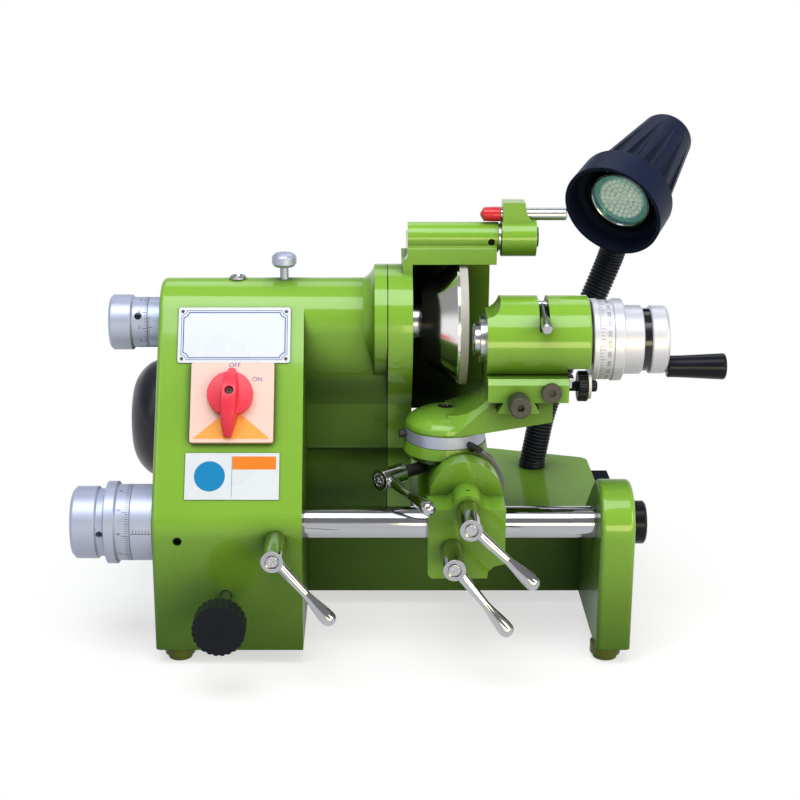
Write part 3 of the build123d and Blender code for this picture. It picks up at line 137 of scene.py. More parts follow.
def grain(place, scale, detail=2.0, stretch=(1, 1, 1)):
    """Noise in metres, stretched along a direction where the tool ran."""
    turned = place.node("ShaderNodeMapping", {}, {"Vector": place, "Scale": stretch})
    return place.node("ShaderNodeTexNoise", {}, {"Vector": turned, "Scale": scale, "Detail": detail})


def soften(place, radius):
    """The normal of a small worn radius along every sharp edge."""
    return place.node("ShaderNodeBevel", {"samples": 4}, {"Radius": radius})


def relief(place, height, distance, strength=1.0, normal=None):
    """A bump of that height in metres over the softened surface."""
    sockets = {"Height": height, "Distance": distance, "Strength": strength}
    if normal is not None:
        sockets["Normal"] = normal
    return place.node("ShaderNodeBump", {}, sockets)


def surface(material, **looks):
    """Sets or links the sockets of the finish's own shader, each by its name."""
    shader = material.node_tree.nodes["Principled BSDF"]
    for key, value in looks.items():
        socket = shader.inputs[key.replace("_", " ").title().replace("Ior", "IOR")]
        if isinstance(value, Signal):
            material.node_tree.links.new(value.socket, socket)
        else:
            socket.default_value = value


def dress(finish, *nodes):
    """Gives CAD nodes their finish."""
    for name in nodes:
        solid = frame["nodes"][name]
        solid.data.materials.clear()
        solid.data.materials.append(finish)


ENAMEL_GREEN = (0.236, 0.466, 0.044)
ENAMEL_DEEP = (0.176, 0.388, 0.029)
PAINTED_SHADE_GREEN = (0.010, 0.032, 0.002)
DEEP_SHELTER, OPEN_SHELTER = (120.0 * MM, 2.6), (60.0 * MM, 1.6)
JOINT_CHAMBER_AND_HOLE_BLACK = (0.004, 0.006, 0.003)
SEAM_X, SEAM_W = -9.5 * MM, 0.45 * MM
CHAMBER_X, CHAMBER_BACK, CHAMBER_TOP, CHAMBER_FLOOR = 10.45 * MM, 67.1 * MM, 301.6 * MM, 150.0 * MM
LIP_Y, LIP_Z = -2.9 * MM, 297.0 * MM
CHAMBER_DARK_START, CHAMBER_DARK_FADE = 1.12, 11.0
SET_SCREW, SET_SCREW_R = (73.0 * MM, 315.5 * MM), 2.75 * MM


def openness(place, reach):
    """One in the open, and less where anything within reach shelters the spot."""
    return place.node("ShaderNodeAmbientOcclusion", {"samples": 6}, {"Distance": reach}, out=1)


def sprayed(name, shelter, joint=False, chamber=False):
    """Machine enamel with painted shade: it goes a deep green wherever pieces nearby shelter it. A casting
    may also have its dark joint line, and the wheel guard a darkened chamber and a set-screw hole painted
    black as its shade."""
    finish, place = start_finish(name)
    x, y, z = place.split()
    peel = grain(place, 420.0, 1.0)
    waves = grain(place, 38.0, 1.0)
    clouds = grain(place, 14.0, 3.0)
    # Painted shade: the colour runs to a deep green, and the coat thins, where nearby pieces shelter the
    # spot.
    unshaded = place.maths("POWER", openness(place, shelter[0]), shelter[1])
    colour = unshaded.tint(PAINTED_SHADE_GREEN, clouds.tint(ENAMEL_DEEP, ENAMEL_GREEN))
    rough = 0.13 + 0.08 * clouds + 0.40 * (1 - unshaded)
    if joint:
        line = abs(x - SEAM_X) < SEAM_W
        colour = line.tint(colour, JOINT_CHAMBER_AND_HOLE_BLACK)
    if chamber:
        # Inside the wheel chamber the colour goes black at the left wall and fades towards the right.
        lip = (y < LIP_Y) * (z > LIP_Z)
        inside = (x > CHAMBER_X) * (y < CHAMBER_BACK) * z.within(CHAMBER_FLOOR, CHAMBER_TOP) * (1 - lip)
        chamber_and_hole_dark = inside * place.node("ShaderNodeClamp", {}, {0: CHAMBER_DARK_START - x * CHAMBER_DARK_FADE, 1: 0.0, 2: 1.0})
        # The mouth of the set-screw hole is painted black as its shade.
        dx = x - SET_SCREW[0]
        dz = z - SET_SCREW[1]
        hole_shade = (dx * dx + dz * dz < SET_SCREW_R * SET_SCREW_R) * (y < 0.0)
        chamber_and_hole_dark = place.maths("MAXIMUM", chamber_and_hole_dark, hole_shade)
        colour = chamber_and_hole_dark.tint(colour, JOINT_CHAMBER_AND_HOLE_BLACK)
        rough = rough + 0.5 * chamber_and_hole_dark
    surface(
        finish,
        base_color=colour,
        roughness=rough,
        specular_ior_level=0.16,
        coat_weight=0.65 * unshaded,
        coat_roughness=0.04,
        normal=relief(place, peel * 0.16 + waves, 0.35 * MM, 0.35, soften(place, 0.9 * MM)),
    )
    return finish


dress(sprayed("green_enamel_bed", DEEP_SHELTER), "base_casting", "belt_cover")
BRACKETS = ("carrier_bracket", "tilt_post", "swivel_arm", "cross_slide", "head_housing", "dresser_arm")
dress(sprayed("green_enamel", OPEN_SHELTER), *BRACKETS)
dress(sprayed("green_enamel_joint", DEEP_SHELTER, joint=True), "headstock_casting")
dress(sprayed("green_enamel_chamber", OPEN_SHELTER, joint=True, chamber=True), "wheel_guard")

# Four feet under the bed: turned translucent rubber in a yellow-green amber,
# screwed up into the bosses of the casting.
amber, place = start_finish("amber_rubber")
speckle = grain(place, 260.0)
surface(
    amber,
    base_color=speckle.tint((0.07, 0.10, 0.002), (0.17, 0.21, 0.006)),
    roughness=0.28 + 0.2 * speckle,
    specular_ior_level=0.25,
    transmission_weight=0.35,
    ior=1.45,
    normal=relief(place, speckle, 0.1 * MM, 0.4),
)
dress(amber, "levelling_feet")

# Ground steel: quill, spindles, bearings, pulleys, diamond rod, stop stud, oil cup, collet and
# clamp handle. Cylindrically ground, so the fine lines run round each shaft.
ground_steel, place = start_finish("ground_steel")
rings = grain(place, 900.0, 1.0, (1.0, 0.02, 0.02))
smear = grain(place, 40.0, 3.0)
surface(
    ground_steel,
    base_color=smear.tint((0.40, 0.41, 0.44), (0.50, 0.51, 0.55)),
    metallic=1.0,
    roughness=0.17 + 0.14 * smear,
    normal=relief(place, rings, 0.02 * MM, 0.6, soften(place, 0.4 * MM)),
)
dress(ground_steel, "spindle_quill", "spindle_bearings", "wheel_spindle", "spindle_pulley", "motor_pulley")
dress(ground_steel, "diamond_rod", "stop_stud", "oil_cup", "work_spindle", "collet", "spindle_clamp_handle")

# Dresser pivot: a ground pin with a bright collar on the guard side,
# and a black cap nut where it ends outside the swinging arm.
CAP_NUT_X = 108.0 * MM
pivot_pin, place = start_finish("dresser_pin")
cap_nut = place.split()[0] > CAP_NUT_X
rings = grain(place, 900.0, 1.0, (1.0, 0.02, 0.02))
surface(
    pivot_pin,
    base_color=cap_nut.tint((0.42, 0.43, 0.46), (0.010, 0.010, 0.012)),
    metallic=1.0 - cap_nut,
    roughness=0.22 + 0.12 * rings,
    normal=soften(place, 0.4 * MM),
)
dress(pivot_pin, "dresser_pivot")

# Cup wheel: a turned and polished steel body that carries the abrasive rim.
# The rim is fine bonded grit, pale grey, a little worn at its face.
polished, place = start_finish("polished_wheel_body")
turning = grain(place, 700.0, 1.0, (1.0, 0.03, 0.03))
haze = grain(place, 30.0, 2.0)
surface(
    polished,
    base_color=haze.tint((0.79, 0.79, 0.76), (0.82, 0.82, 0.82)),
    metallic=1.0,
    roughness=0.08 + 0.08 * haze,
    normal=relief(place, turning, 0.03 * MM, 0.5, soften(place, 0.4 * MM)),
)
dress(polished, "wheel_cup")
grit, place = start_finish("bonded_grit")
grains = grain(place, 2600.0, 2.0)
patches = grain(place, 90.0, 2.0)
surface(
    grit,
    base_color=(grains * 0.6 + patches * 0.4).tint((0.32, 0.315, 0.31), (0.60, 0.585, 0.57)),
    roughness=0.85,
    normal=relief(place, grains, 0.12 * MM, 0.8),
)
dress(grit, "wheel_rim")

# Wheel nut, cross feed knob and gib plug, and later the rivets and the switch screw:
# black-brown phosphated steel, matt and a little oily.
phosphate, place = start_finish("phosphated_steel")
crystals = grain(place, 1500.0, 2.0)
oil = grain(place, 120.0, 2.0)
surface(
    phosphate,
    base_color=(crystals * 0.5 + oil * 0.5).tint((0.030, 0.028, 0.027), (0.105, 0.098, 0.092)),
    metallic=0.55,
    roughness=0.36 + 0.25 * oil,
    normal=relief(place, crystals, 0.04 * MM, 0.5, soften(place, 0.5 * MM)),
)
dress(phosphate, "wheel_nut", "cross_feed_knob", "gib_plug")

# Turntable screws: the dark stop pin and clamp screw at the ring, and the pivot screw
# on the crown, whose face is turned bright round its hexagon socket.
PIVOT_XY, PIVOT_TOP, SOCKET_R = (37.2 * MM, -34.0 * MM), 178.0 * MM, 3.3 * MM
pivot_steel, place = start_finish("pivot_screw_steel")
x, y, z = place.split()
oil = grain(place, 120.0, 2.0)
dx = x - PIVOT_XY[0]
dy = y - PIVOT_XY[1]
bright = (z > PIVOT_TOP) * (dx * dx + dy * dy > SOCKET_R * SOCKET_R)
surface(
    pivot_steel,
    base_color=bright.tint((0.030, 0.029, 0.030), (0.56, 0.56, 0.57)),
    metallic=0.5 + 0.5 * bright,
    roughness=0.40 + 0.15 * oil - 0.25 * bright,
    normal=soften(place, 0.5 * MM),
)
dress(pivot_steel, "swivel_screws")

# Guide bar: hard-chromed and ground, so bright that it mirrors the castings,
# with the faint rings of the centreless grinder.
bar_chrome, place = start_finish("ground_chrome_bar")
rings = grain(place, 1200.0, 1.0, (1.0, 0.01, 0.01))
film = grain(place, 22.0, 3.0)
surface(
    bar_chrome,
    base_color=film.tint((0.38, 0.39, 0.42), (0.46, 0.47, 0.50)),
    metallic=1.0,
    roughness=0.045 + 0.06 * film,
    normal=relief(place, rings, 0.01 * MM, 0.4, soften(place, 0.5 * MM)),
)
dress(bar_chrome, "guide_bar")

# Bush inside the carrier: turned bronze,
# seen only at its two ends.
bronze, place = start_finish("turned_bronze")
turning = grain(place, 800.0, 1.0, (1.0, 0.03, 0.03))
surface(
    bronze,
    base_color=turning.tint((0.42, 0.26, 0.10), (0.60, 0.40, 0.18)),
    metallic=1.0,
    roughness=0.3,
    normal=relief(place, turning, 0.03 * MM, 0.5),
)
dress(bronze, "clamp_bush")

# Motor and belt at the rear: a black painted shell with a domed end cover,
# and a flat black rubber belt with a woven back.
motor_paint, place = start_finish("black_motor_paint")
dust = grain(place, 60.0, 4.0)
peel = grain(place, 500.0, 1.0)
surface(
    motor_paint,
    base_color=dust.tint((0.006, 0.008, 0.014), (0.016, 0.020, 0.034)),
    roughness=0.22 + 0.22 * dust,
    specular_ior_level=0.4,
    normal=relief(place, peel, 0.1 * MM, 0.4, soften(place, 0.8 * MM)),
)
dress(motor_paint, "motor_body", "motor_end_cover")
belt_rubber, place = start_finish("belt_rubber")
weave = grain(place, 1400.0, 1.0, (1.0, 0.4, 0.4))
surface(
    belt_rubber,
    base_color=weave.tint((0.010, 0.010, 0.010), (0.035, 0.034, 0.032)),
    roughness=0.75,
    normal=relief(place, weave, 0.1 * MM, 0.6),
)
dress(belt_rubber, "drive_belt")

# Dials and feed knobs: turned, bead-blasted and satin chromed, with a silvery skin.
# The upper left dial also has the mouth of a pin hole, painted black as its shade.
SATIN_DARK, SATIN_PALE, HOLE_SHADE_AND_NECK_BLACK = (0.40, 0.435, 0.60), (0.48, 0.52, 0.70), (0.006, 0.006, 0.009)
PIN_HOLE, PIN_HOLE_R = (-210.6 * MM, -8.6 * MM, 255.6 * MM), 3.0 * MM
DIAL_NECK_X, SATIN_METAL = 189.5 * MM, 0.5


def satin_chrome(name, tones=(SATIN_DARK, SATIN_PALE), pin_hole=False, neck=False):
    """Satin chrome, with the mouth of the pin hole painted black as its shade, or the black neck, where a
    dial has it.
    """
    finish, place = start_finish(name)
    beads = grain(place, 1900.0, 2.0)
    turning = grain(place, 650.0, 1.0, (1.0, 0.05, 0.05))
    tone = grain(place, 35.0, 2.0)
    colour = tone.tint(*tones)
    metal = SATIN_METAL
    rough = 0.30 + 0.12 * tone + 0.08 * beads
    normal = relief(place, beads * 0.4 + turning, 0.03 * MM, 0.45, soften(place, 0.6 * MM))
    dark = None
    # Painted shade: a black disc stands for the mouth of the pin hole.
    if pin_hole:
        dark = place.vector("DISTANCE", PIN_HOLE, out=1) < PIN_HOLE_R
    if neck:
        dark = place.split()[0] > DIAL_NECK_X
    if dark is not None:
        colour = dark.tint(colour, HOLE_SHADE_AND_NECK_BLACK)
        metal = SATIN_METAL - SATIN_METAL * dark
        rough = rough * (1 - dark) + 0.14 * dark
    surface(finish, base_color=colour, metallic=metal, roughness=rough, normal=normal)
    return finish


SATIN_PIECES = ("quill_index_collar", "bar_index_collar", "bar_feed_knob", "swivel_scale", "lock_pin")
dress(satin_chrome("satin_chrome"), *SATIN_PIECES)
dress(satin_chrome("satin_chrome_pin_hole", pin_hole=True), "quill_feed_knob")

# Index dial and crank disc: a paler copy of the satin, painted lighter to stand in for the light that falls
# on them, and between the two a neck of glossy black plastic.
# Tilt scale: a dark silver band with a black stroke every two degrees.
SATIN_PAINTED_PALER = ((0.60, 0.605, 0.70), (0.70, 0.705, 0.80))
dress(satin_chrome("index_dial_satin", SATIN_PAINTED_PALER, neck=True), "index_dial")
dress(satin_chrome("crank_disc_satin", SATIN_PAINTED_PALER), "crank_disc")
TILT_XZ, SCALE_STEP, STROKE_SHARE = (51.5 * MM, 130.5 * MM), math.radians(2.0), 0.22
STROKE_Y, STROKE_BLACK = -62.0 * MM, (0.02, 0.02, 0.022)
scale_silver, place = start_finish("tilt_scale_silver")
x, y, z = place.split()
bearing = place.maths("ARCTAN2", x - TILT_XZ[0], z - TILT_XZ[1])
stroke = (place.maths("FRACT", bearing / SCALE_STEP) < STROKE_SHARE) * (y > STROKE_Y)
tone = grain(place, 35.0, 2.0)
surface(
    scale_silver,
    base_color=stroke.tint(tone.tint((0.10, 0.11, 0.12), (0.20, 0.21, 0.23)), STROKE_BLACK),
    metallic=0.9 - 0.9 * stroke,
    roughness=0.28 + 0.1 * tone,
    normal=soften(place, 0.3 * MM),
)
dress(scale_silver, "tilt_scale")

# Graduations: black-filled strokes round the dials, each a hair above the metal.
# One stroke is cut and then spun round its dial's axis.
ink, place = start_finish("engraving_black")
fill = grain(place, 900.0)
surface(ink, base_color=fill.tint((0.006, 0.006, 0.007), (0.03, 0.03, 0.032)), roughness=0.6)
INK_LIFT, UNMOVED = 0.06 * MM, Matrix()


def fresh(add, **form):
    """A new object from one of the starting forms, with nothing else selected."""
    bpy.ops.object.select_all(action="DESELECT")
    add(**form)
    return bpy.context.object


def open_all():
    """Opens the active piece for editing, with all of it selected."""
    bpy.ops.object.mode_set(mode="EDIT")
    bpy.ops.mesh.select_all(action="SELECT")


def close():
    """Ends the editing of the active piece."""
    bpy.ops.object.mode_set(mode="OBJECT")


def only(piece):
    """Selects one piece and makes it the active one."""
    bpy.ops.object.select_all(action="DESELECT")
    piece.select_set(True)
    bpy.context.view_layer.objects.active = piece


def join(parts):
    """Joins loose parts into one piece."""
    only(parts[0])
    for part in parts[1:]:
        part.select_set(True)
    bpy.ops.object.join()
    return bpy.context.object


def put(name, piece, finish, placing, body="frame"):
    """Names a piece, puts it in its place, gives it its finish and lets it ride on its body."""
    piece.name = name
    piece.data.name = name
    only(piece)
    piece.matrix_world = placing
    bpy.ops.object.transform_apply()
    piece.data.materials.clear()
    piece.data.materials.append(finish)
    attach(piece, body)


def stand(facing, across, spot):
    """The placing of a flat part: its own z faces that way and its own x lies across."""
    z = Vector(facing).normalized()
    x = (Vector(across) - Vector(across).dot(z) * z).normalized()
    y = z.cross(x)
    turn = Matrix((x, y, z)).transposed().to_4x4()
    return Matrix.Translation(Vector(spot)) @ turn


def sheet(width, height):
    """A flat rectangle round the origin."""
    made = fresh(bpy.ops.mesh.primitive_plane_add, size=1.0)
    made.scale = (width, height, 1.0)
    bpy.ops.object.transform_apply()
    return made


def spun_strokes(left, right, width, dial, count, first=0.0, arc=360.0):
    """Strokes along a dial's axis between two places in millimetres, repeated round the axis."""
    radius, centre = dial
    stroke = sheet((right - left) * MM, width * MM)
    angle = math.radians(first)
    out = Vector((0, -math.cos(angle), math.sin(angle)))
    middle = Vector(((left + right) / 2 * MM, *centre))
    stroke.matrix_world = stand(out, (1, 0, 0), middle + out * (radius + INK_LIFT))
    bpy.ops.object.transform_apply()
    steps = count - 1
    sweep = math.radians(arc) * (steps / count if arc == 360.0 else 1.0)
    open_all()
    bpy.ops.mesh.spin(steps=steps, dupli=True, angle=sweep, center=(0, *centre), axis=(1, 0, 0))
    close()
    return stroke


def lettering(text, height, placing):
    """Flat figures or letters, made a mesh and put in place."""
    made = fresh(bpy.ops.object.text_add)
    made.data.body = text
    made.data.size = height
    made.data.align_x = "CENTER"
    made.data.align_y = "CENTER"
    made.data.resolution_u = 3
    bpy.ops.object.convert(target="MESH")
    made = bpy.context.object
    made.matrix_world = placing
    bpy.ops.object.transform_apply()
    return made


def figure(text, height, dial, x, angle, sideways=True):
    """One engraved figure on a dial, laid flat against the turned face; sizes in millimetres."""
    radius, centre = dial
    turn = math.radians(angle)
    out = Vector((0, -math.cos(turn), math.sin(turn)))
    up = Vector((0, math.sin(turn), math.cos(turn)))
    across = up if sideways else Vector((1, 0, 0))
    spot = Vector((x * MM, *centre)) + out * (radius + INK_LIFT)
    return lettering(str(text), height * MM, stand(out, across, spot))


def engrave(name, parts, node, body):
    """Joins the marks of one dial, wraps them on it and lets them turn with its body."""
    marks = join(parts)
    open_all()
    bpy.ops.mesh.quads_convert_to_tris()
    close()
    wrap = marks.modifiers.new("lie_on_dial", "SHRINKWRAP")
    wrap.target = frame["nodes"][node]
    wrap.wrap_method = "NEAREST_SURFACEPOINT"
    wrap.wrap_mode = "ABOVE_SURFACE"
    wrap.offset = INK_LIFT
    bpy.ops.object.modifier_apply(modifier=wrap.name)
    put(name, marks, ink, UNMOVED, body)


BAR_DIAL = (30.0 * MM, (-82.5 * MM, 107.0 * MM))
QUILL_DIAL = (20.5 * MM, (9.5 * MM, 246.0 * MM))
WORK_DIAL = (31.4 * MM, (-38.0 * MM, 244.0 * MM))
STROKE, BOLD, FINE = 0.35, 0.42, 0.28
BAR_EDGE, BAR_SHORT, BAR_LONG, BAR_FIGURE_X, BAR_FIGURE_H = -209.6, -213.0, -215.2, -217.4, 4.4
bar_marks = [
    spun_strokes(BAR_SHORT, BAR_EDGE, STROKE, BAR_DIAL, 100),
    spun_strokes(BAR_LONG, BAR_EDGE, BOLD, BAR_DIAL, 10),
]
for number in range(10):
    bar_marks.append(figure(number, BAR_FIGURE_H, BAR_DIAL, BAR_FIGURE_X, (number - 4) * 36 + 3))
engrave("bar_dial_marks", bar_marks, "bar_feed_knob", "bar_dial")
COLLAR_LINE, RULE_START, RULE_STEP, RULE_W = (-208.4, -192.6), -206.5, 2.4, 3.0
LINE_ANGLE, RULE_ANGLE, HAIR = 3.0, 6.0, 0.2
collar_marks = [spun_strokes(*COLLAR_LINE, STROKE, BAR_DIAL, 2, LINE_ANGLE, HAIR)]
for number in range(6):
    left = RULE_START + RULE_STEP * number
    collar_marks.append(spun_strokes(left, left + STROKE, RULE_W, BAR_DIAL, 2, RULE_ANGLE, HAIR))
engrave("bar_collar_marks", collar_marks, "bar_index_collar", "frame")
QUILL_EDGE, QUILL_SHORT, QUILL_LONG, QUILL_FIGURE_X, QUILL_FIGURE_H = -203.6, -205.6, -207.0, -209.4, 3.8
quill_marks = [
    spun_strokes(QUILL_SHORT, QUILL_EDGE, STROKE, QUILL_DIAL, 50),
    spun_strokes(QUILL_LONG, QUILL_EDGE, BOLD, QUILL_DIAL, 10),
]
for number in range(10):
    angle = (number - 5) * 36 + 2
    quill_marks.append(figure(number, QUILL_FIGURE_H, QUILL_DIAL, QUILL_FIGURE_X, angle, sideways=False))
engrave("quill_dial_marks", quill_marks, "quill_feed_knob", "quill_dial")
ZERO_LINE, ZERO_ANGLE = (-202.9, -199.0), 2.0
VERNIER, VERNIER_START, VERNIER_ARC = (-202.9, -201.0), -20.0, 44.0
quill_zero = [
    spun_strokes(*ZERO_LINE, BOLD, QUILL_DIAL, 2, ZERO_ANGLE, HAIR),
    spun_strokes(*VERNIER, STROKE, QUILL_DIAL, 11, VERNIER_START, VERNIER_ARC),
]
engrave("quill_collar_marks", quill_zero, "quill_index_collar", "frame")
WORK_EDGE, WORK_SHORT, WORK_LONG, WORK_FIGURE_X, WORK_FIGURE_H = 154.9, 157.2, 158.4, 161.8, 3.5
index_marks = [
    spun_strokes(WORK_EDGE, WORK_SHORT, FINE, WORK_DIAL, 72),
    spun_strokes(WORK_EDGE, WORK_LONG, STROKE, WORK_DIAL, 24),
]
for number in range(24):
    degrees = (270 - 15 * (number - 1)) % 360
    index_marks.append(figure(degrees, WORK_FIGURE_H, WORK_DIAL, WORK_FIGURE_X, 15 * number - 7))
engrave("index_dial_marks", index_marks, "index_dial", "spindle")

# Clamp levers: drop-forged, polished and bright chromed, with a cross-head screw
# in the recess of each hub.
LEVER_TONES, STUD_BLACK = ((0.38, 0.39, 0.41), (0.48, 0.48, 0.50)), (0.010, 0.010, 0.011)
SWIVEL_ROOT, SWIVEL_OUT, STUD_END = (20.9, -48.8, 142.0), (-0.741, -0.671, 0.0), 26.9 * MM
lever_chrome, place = start_finish("bright_lever_chrome")
smudge = grain(place, 70.0, 3.0)
ripple = grain(place, 160.0, 1.0)
surface(
    lever_chrome,
    base_color=smudge.tint(*LEVER_TONES),
    metallic=1.0,
    roughness=0.05 + 0.09 * smudge,
    normal=relief(place, ripple, 0.05 * MM, 0.3, soften(place, 0.5 * MM)),
)
dress(lever_chrome, "bar_lock_lever", "tilt_lock_lever", "carrier_clamp_lever")
stud_chrome, place = start_finish("lever_chrome_black_stud")
smudge = grain(place, 70.0, 3.0)
from_root = place.vector("SUBTRACT", tuple(Vector(SWIVEL_ROOT) * MM))
stud = from_root.vector("DOT_PRODUCT", SWIVEL_OUT, out=1) < STUD_END
surface(
    stud_chrome,
    base_color=stud.tint(smudge.tint(*LEVER_TONES), STUD_BLACK),
    metallic=1.0 - 0.7 * stud,
    roughness=0.05 + 0.09 * smudge + 0.3 * stud,
    normal=soften(place, 0.5 * MM),
)
dress(stud_chrome, "swivel_lock_lever")
# Each lever's root, the way its hub faces and how far out the face lies, in millimetres.
HUB_SCREWS = {
    "bar_lock": ((-96.5, -116.5, 104.7), (0, -1, 0), 42.0),
    "tilt_lock": ((51.5, -118.0, 130.5), (0, -1, 0), 42.0),
    "carrier_clamp": ((39.6, -118.0, 98.7), (0, -1, 0), 42.0),
    "swivel_lock": (SWIVEL_ROOT, SWIVEL_OUT, 50.0),
}
SCREW_R, SCREW_H, SCREW_EDGE, RECESS = 4.3 * MM, 1.0 * MM, 0.3 * MM, 1.2 * MM
CROSS_W, CROSS_L, CROSS_H, CROSS_TURN = 1.3 * MM, 5.2 * MM, SCREW_H * 1.2, 0.4
SCREW_LIFT, SCREW_ACROSS = 0.02 * MM, (1, 0, 0.3)


def rod(radius, length, middle=(0, 0, 0), turn=(0, 0, 0), sides=96):
    """A cylinder round a point, upright unless it is turned."""
    form = {"vertices": sides, "radius": radius, "depth": length, "location": middle, "rotation": turn}
    return fresh(bpy.ops.mesh.primitive_cylinder_add, **form)


def carve(piece, tool, operation="DIFFERENCE"):
    """Cuts or fills a piece with a tool, which is then thrown away."""
    only(piece)
    change = piece.modifiers.new("carve", "BOOLEAN")
    change.operation = operation
    change.object = tool
    bpy.ops.object.modifier_apply(modifier=change.name)
    bpy.data.objects.remove(tool)


def round_edges(piece, width, segments=2, sharp=30.0):
    """Rounds the edges of a piece that turn by more than that many degrees."""
    only(piece)
    edge = piece.modifiers.new("round_edges", "BEVEL")
    edge.width = width
    edge.segments = segments
    edge.limit_method = "ANGLE"
    edge.angle_limit = math.radians(sharp)
    bpy.ops.object.modifier_apply(modifier=edge.name)


def twin(piece):
    """A copy of a piece with its own mesh."""
    made = piece.copy()
    made.data = piece.data.copy()
    bpy.context.collection.objects.link(made)
    return made


screw = rod(SCREW_R, SCREW_H, (0, 0, SCREW_H / 2), sides=40)
bpy.ops.object.transform_apply()
round_edges(screw, SCREW_EDGE)
for across in (0.0, math.pi / 2):
    slot = fresh(bpy.ops.mesh.primitive_cube_add, size=1.0, location=(0, 0, SCREW_H))
    slot.scale = (CROSS_L, CROSS_W, CROSS_H)
    slot.rotation_euler = (0, 0, across + CROSS_TURN)
    bpy.ops.object.transform_apply()
    carve(screw, slot)
for body, (root, out, face) in HUB_SCREWS.items():
    seat = Vector(root) * MM + Vector(out) * (face * MM - RECESS + SCREW_LIFT)
    placing = stand(out, SCREW_ACROSS, seat)
    put(body + "_screw", twin(screw), ground_steel, placing, body)
bpy.data.objects.remove(screw)

# Wheel guard: the dresser boss runs down to the roof in a hollow fillet, and the shoulder of
# the riser beside it is scooped away, so a copy of the solid is filled and cut there.
TURNED_ACROSS, TURNED_BACK = (0, math.pi / 2, 0), (math.pi / 2, 0, 0)
FILLET_X, FILLET_Y, FILLET_Z = (6.5 * MM, 77.5 * MM), (-8.0 * MM, -4.0 * MM), (308.5 * MM, 313.1 * MM)
FILLET_R, FILLET_L, FILLET_AXIS = 3.0 * MM, 200.0 * MM, (42.0 * MM, -8.96 * MM, 312.0 * MM)
SCOOP_X, SCOOP_Y, SCOOP_Z = (1.5 * MM, 6.5 * MM), (-9.0 * MM, 76.0 * MM), (305.2 * MM, 312.0 * MM)
SCOOP_R, SCOOP_L = 4.2 * MM, SCOOP_Y[1] - SCOOP_Y[0]
SCOOP_AXIS = (2.3 * MM, sum(SCOOP_Y) / 2, 305.2 * MM)
STEP_Y, STEP_Z = (3.0 * MM, 76.0 * MM), (294.0 * MM, 312.0 * MM)
WELD = 0.001 * MM


def block(across, deep, high):
    """A box between three pairs of limits."""
    made = fresh(bpy.ops.mesh.primitive_cube_add, size=1.0)
    made.location = [sum(pair) / 2 for pair in (across, deep, high)]
    made.scale = [pair[1] - pair[0] for pair in (across, deep, high)]
    bpy.ops.object.transform_apply()
    return made


def smooth(degrees):
    """Shades the selected piece smooth where its faces meet at less than that angle."""
    bpy.ops.object.shade_smooth_by_angle(angle=math.radians(degrees))


only(frame["nodes"]["wheel_guard"])
bpy.ops.object.duplicate()
guard = bpy.context.object
guard.name = "guard_casting"
guard.data.name = "guard_casting"
del guard["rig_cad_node"]
bpy.ops.mesh.customdata_custom_splitnormals_clear()
open_all()
bpy.ops.mesh.remove_doubles(threshold=WELD)
close()
fillet = block(FILLET_X, FILLET_Y, FILLET_Z)
carve(fillet, rod(FILLET_R, FILLET_L, FILLET_AXIS, TURNED_ACROSS))
carve(guard, fillet, "UNION")
carve(guard, block(SCOOP_X, SCOOP_Y, SCOOP_Z))
carve(guard, block(SCOOP_X, STEP_Y, STEP_Z))
carve(guard, rod(SCOOP_R, SCOOP_L, SCOOP_AXIS, TURNED_BACK))
only(guard)
smooth(25)
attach(guard, "frame")
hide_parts("wheel_guard")

# Wheel collar: a turned steel collar that fills the gap on the spindle behind the cup,
# bored to pass the shaft, with a broken edge at both ends.
COLLAR_R, COLLAR_BORE, COLLAR_LENGTH = 15.0 * MM, 11.05 * MM, 12.0 * MM
COLLAR_MIDDLE, COLLAR_EDGE = (11.9 * MM, 9.5 * MM, 246.0 * MM), 0.6 * MM
collar = rod(COLLAR_R, COLLAR_LENGTH, COLLAR_MIDDLE, TURNED_ACROSS)
carve(collar, rod(COLLAR_BORE, COLLAR_LENGTH * 2, COLLAR_MIDDLE, TURNED_ACROSS))
only(collar)
bpy.ops.object.transform_apply()
round_edges(collar, COLLAR_EDGE)
smooth(30)
put("wheel_collar", collar, ground_steel, UNMOVED, "wheel")

# Black mouldings: stop knob, crank grip and bar end cap are pressed from a glossy black
# thermoset; the terminal box behind the arm has a fine pebble texture.
thermoset, place = start_finish("black_thermoset")
flow = grain(place, 45.0, 3.0)
fine = grain(place, 900.0, 1.0)
surface(
    thermoset,
    base_color=flow.tint((0.004, 0.005, 0.009), (0.009, 0.011, 0.018)),
    roughness=0.16 + 0.16 * flow,
    specular_ior_level=0.14,
    normal=relief(place, fine, 0.03 * MM, 0.3, soften(place, 0.7 * MM)),
)
dress(thermoset, "stop_knob", "crank_grip", "bar_end_cap")
textured, place = start_finish("textured_box_black")
pebble = grain(place, 1500.0, 1.0)
surface(
    textured,
    base_color=pebble.tint((0.003, 0.005, 0.010), (0.006, 0.009, 0.017)),
    roughness=0.6 + 0.2 * pebble,
    specular_ior_level=0.06,
    normal=relief(place, pebble, 0.08 * MM, 0.5, soften(place, 0.7 * MM)),
)
dress(textured, "lamp_box")

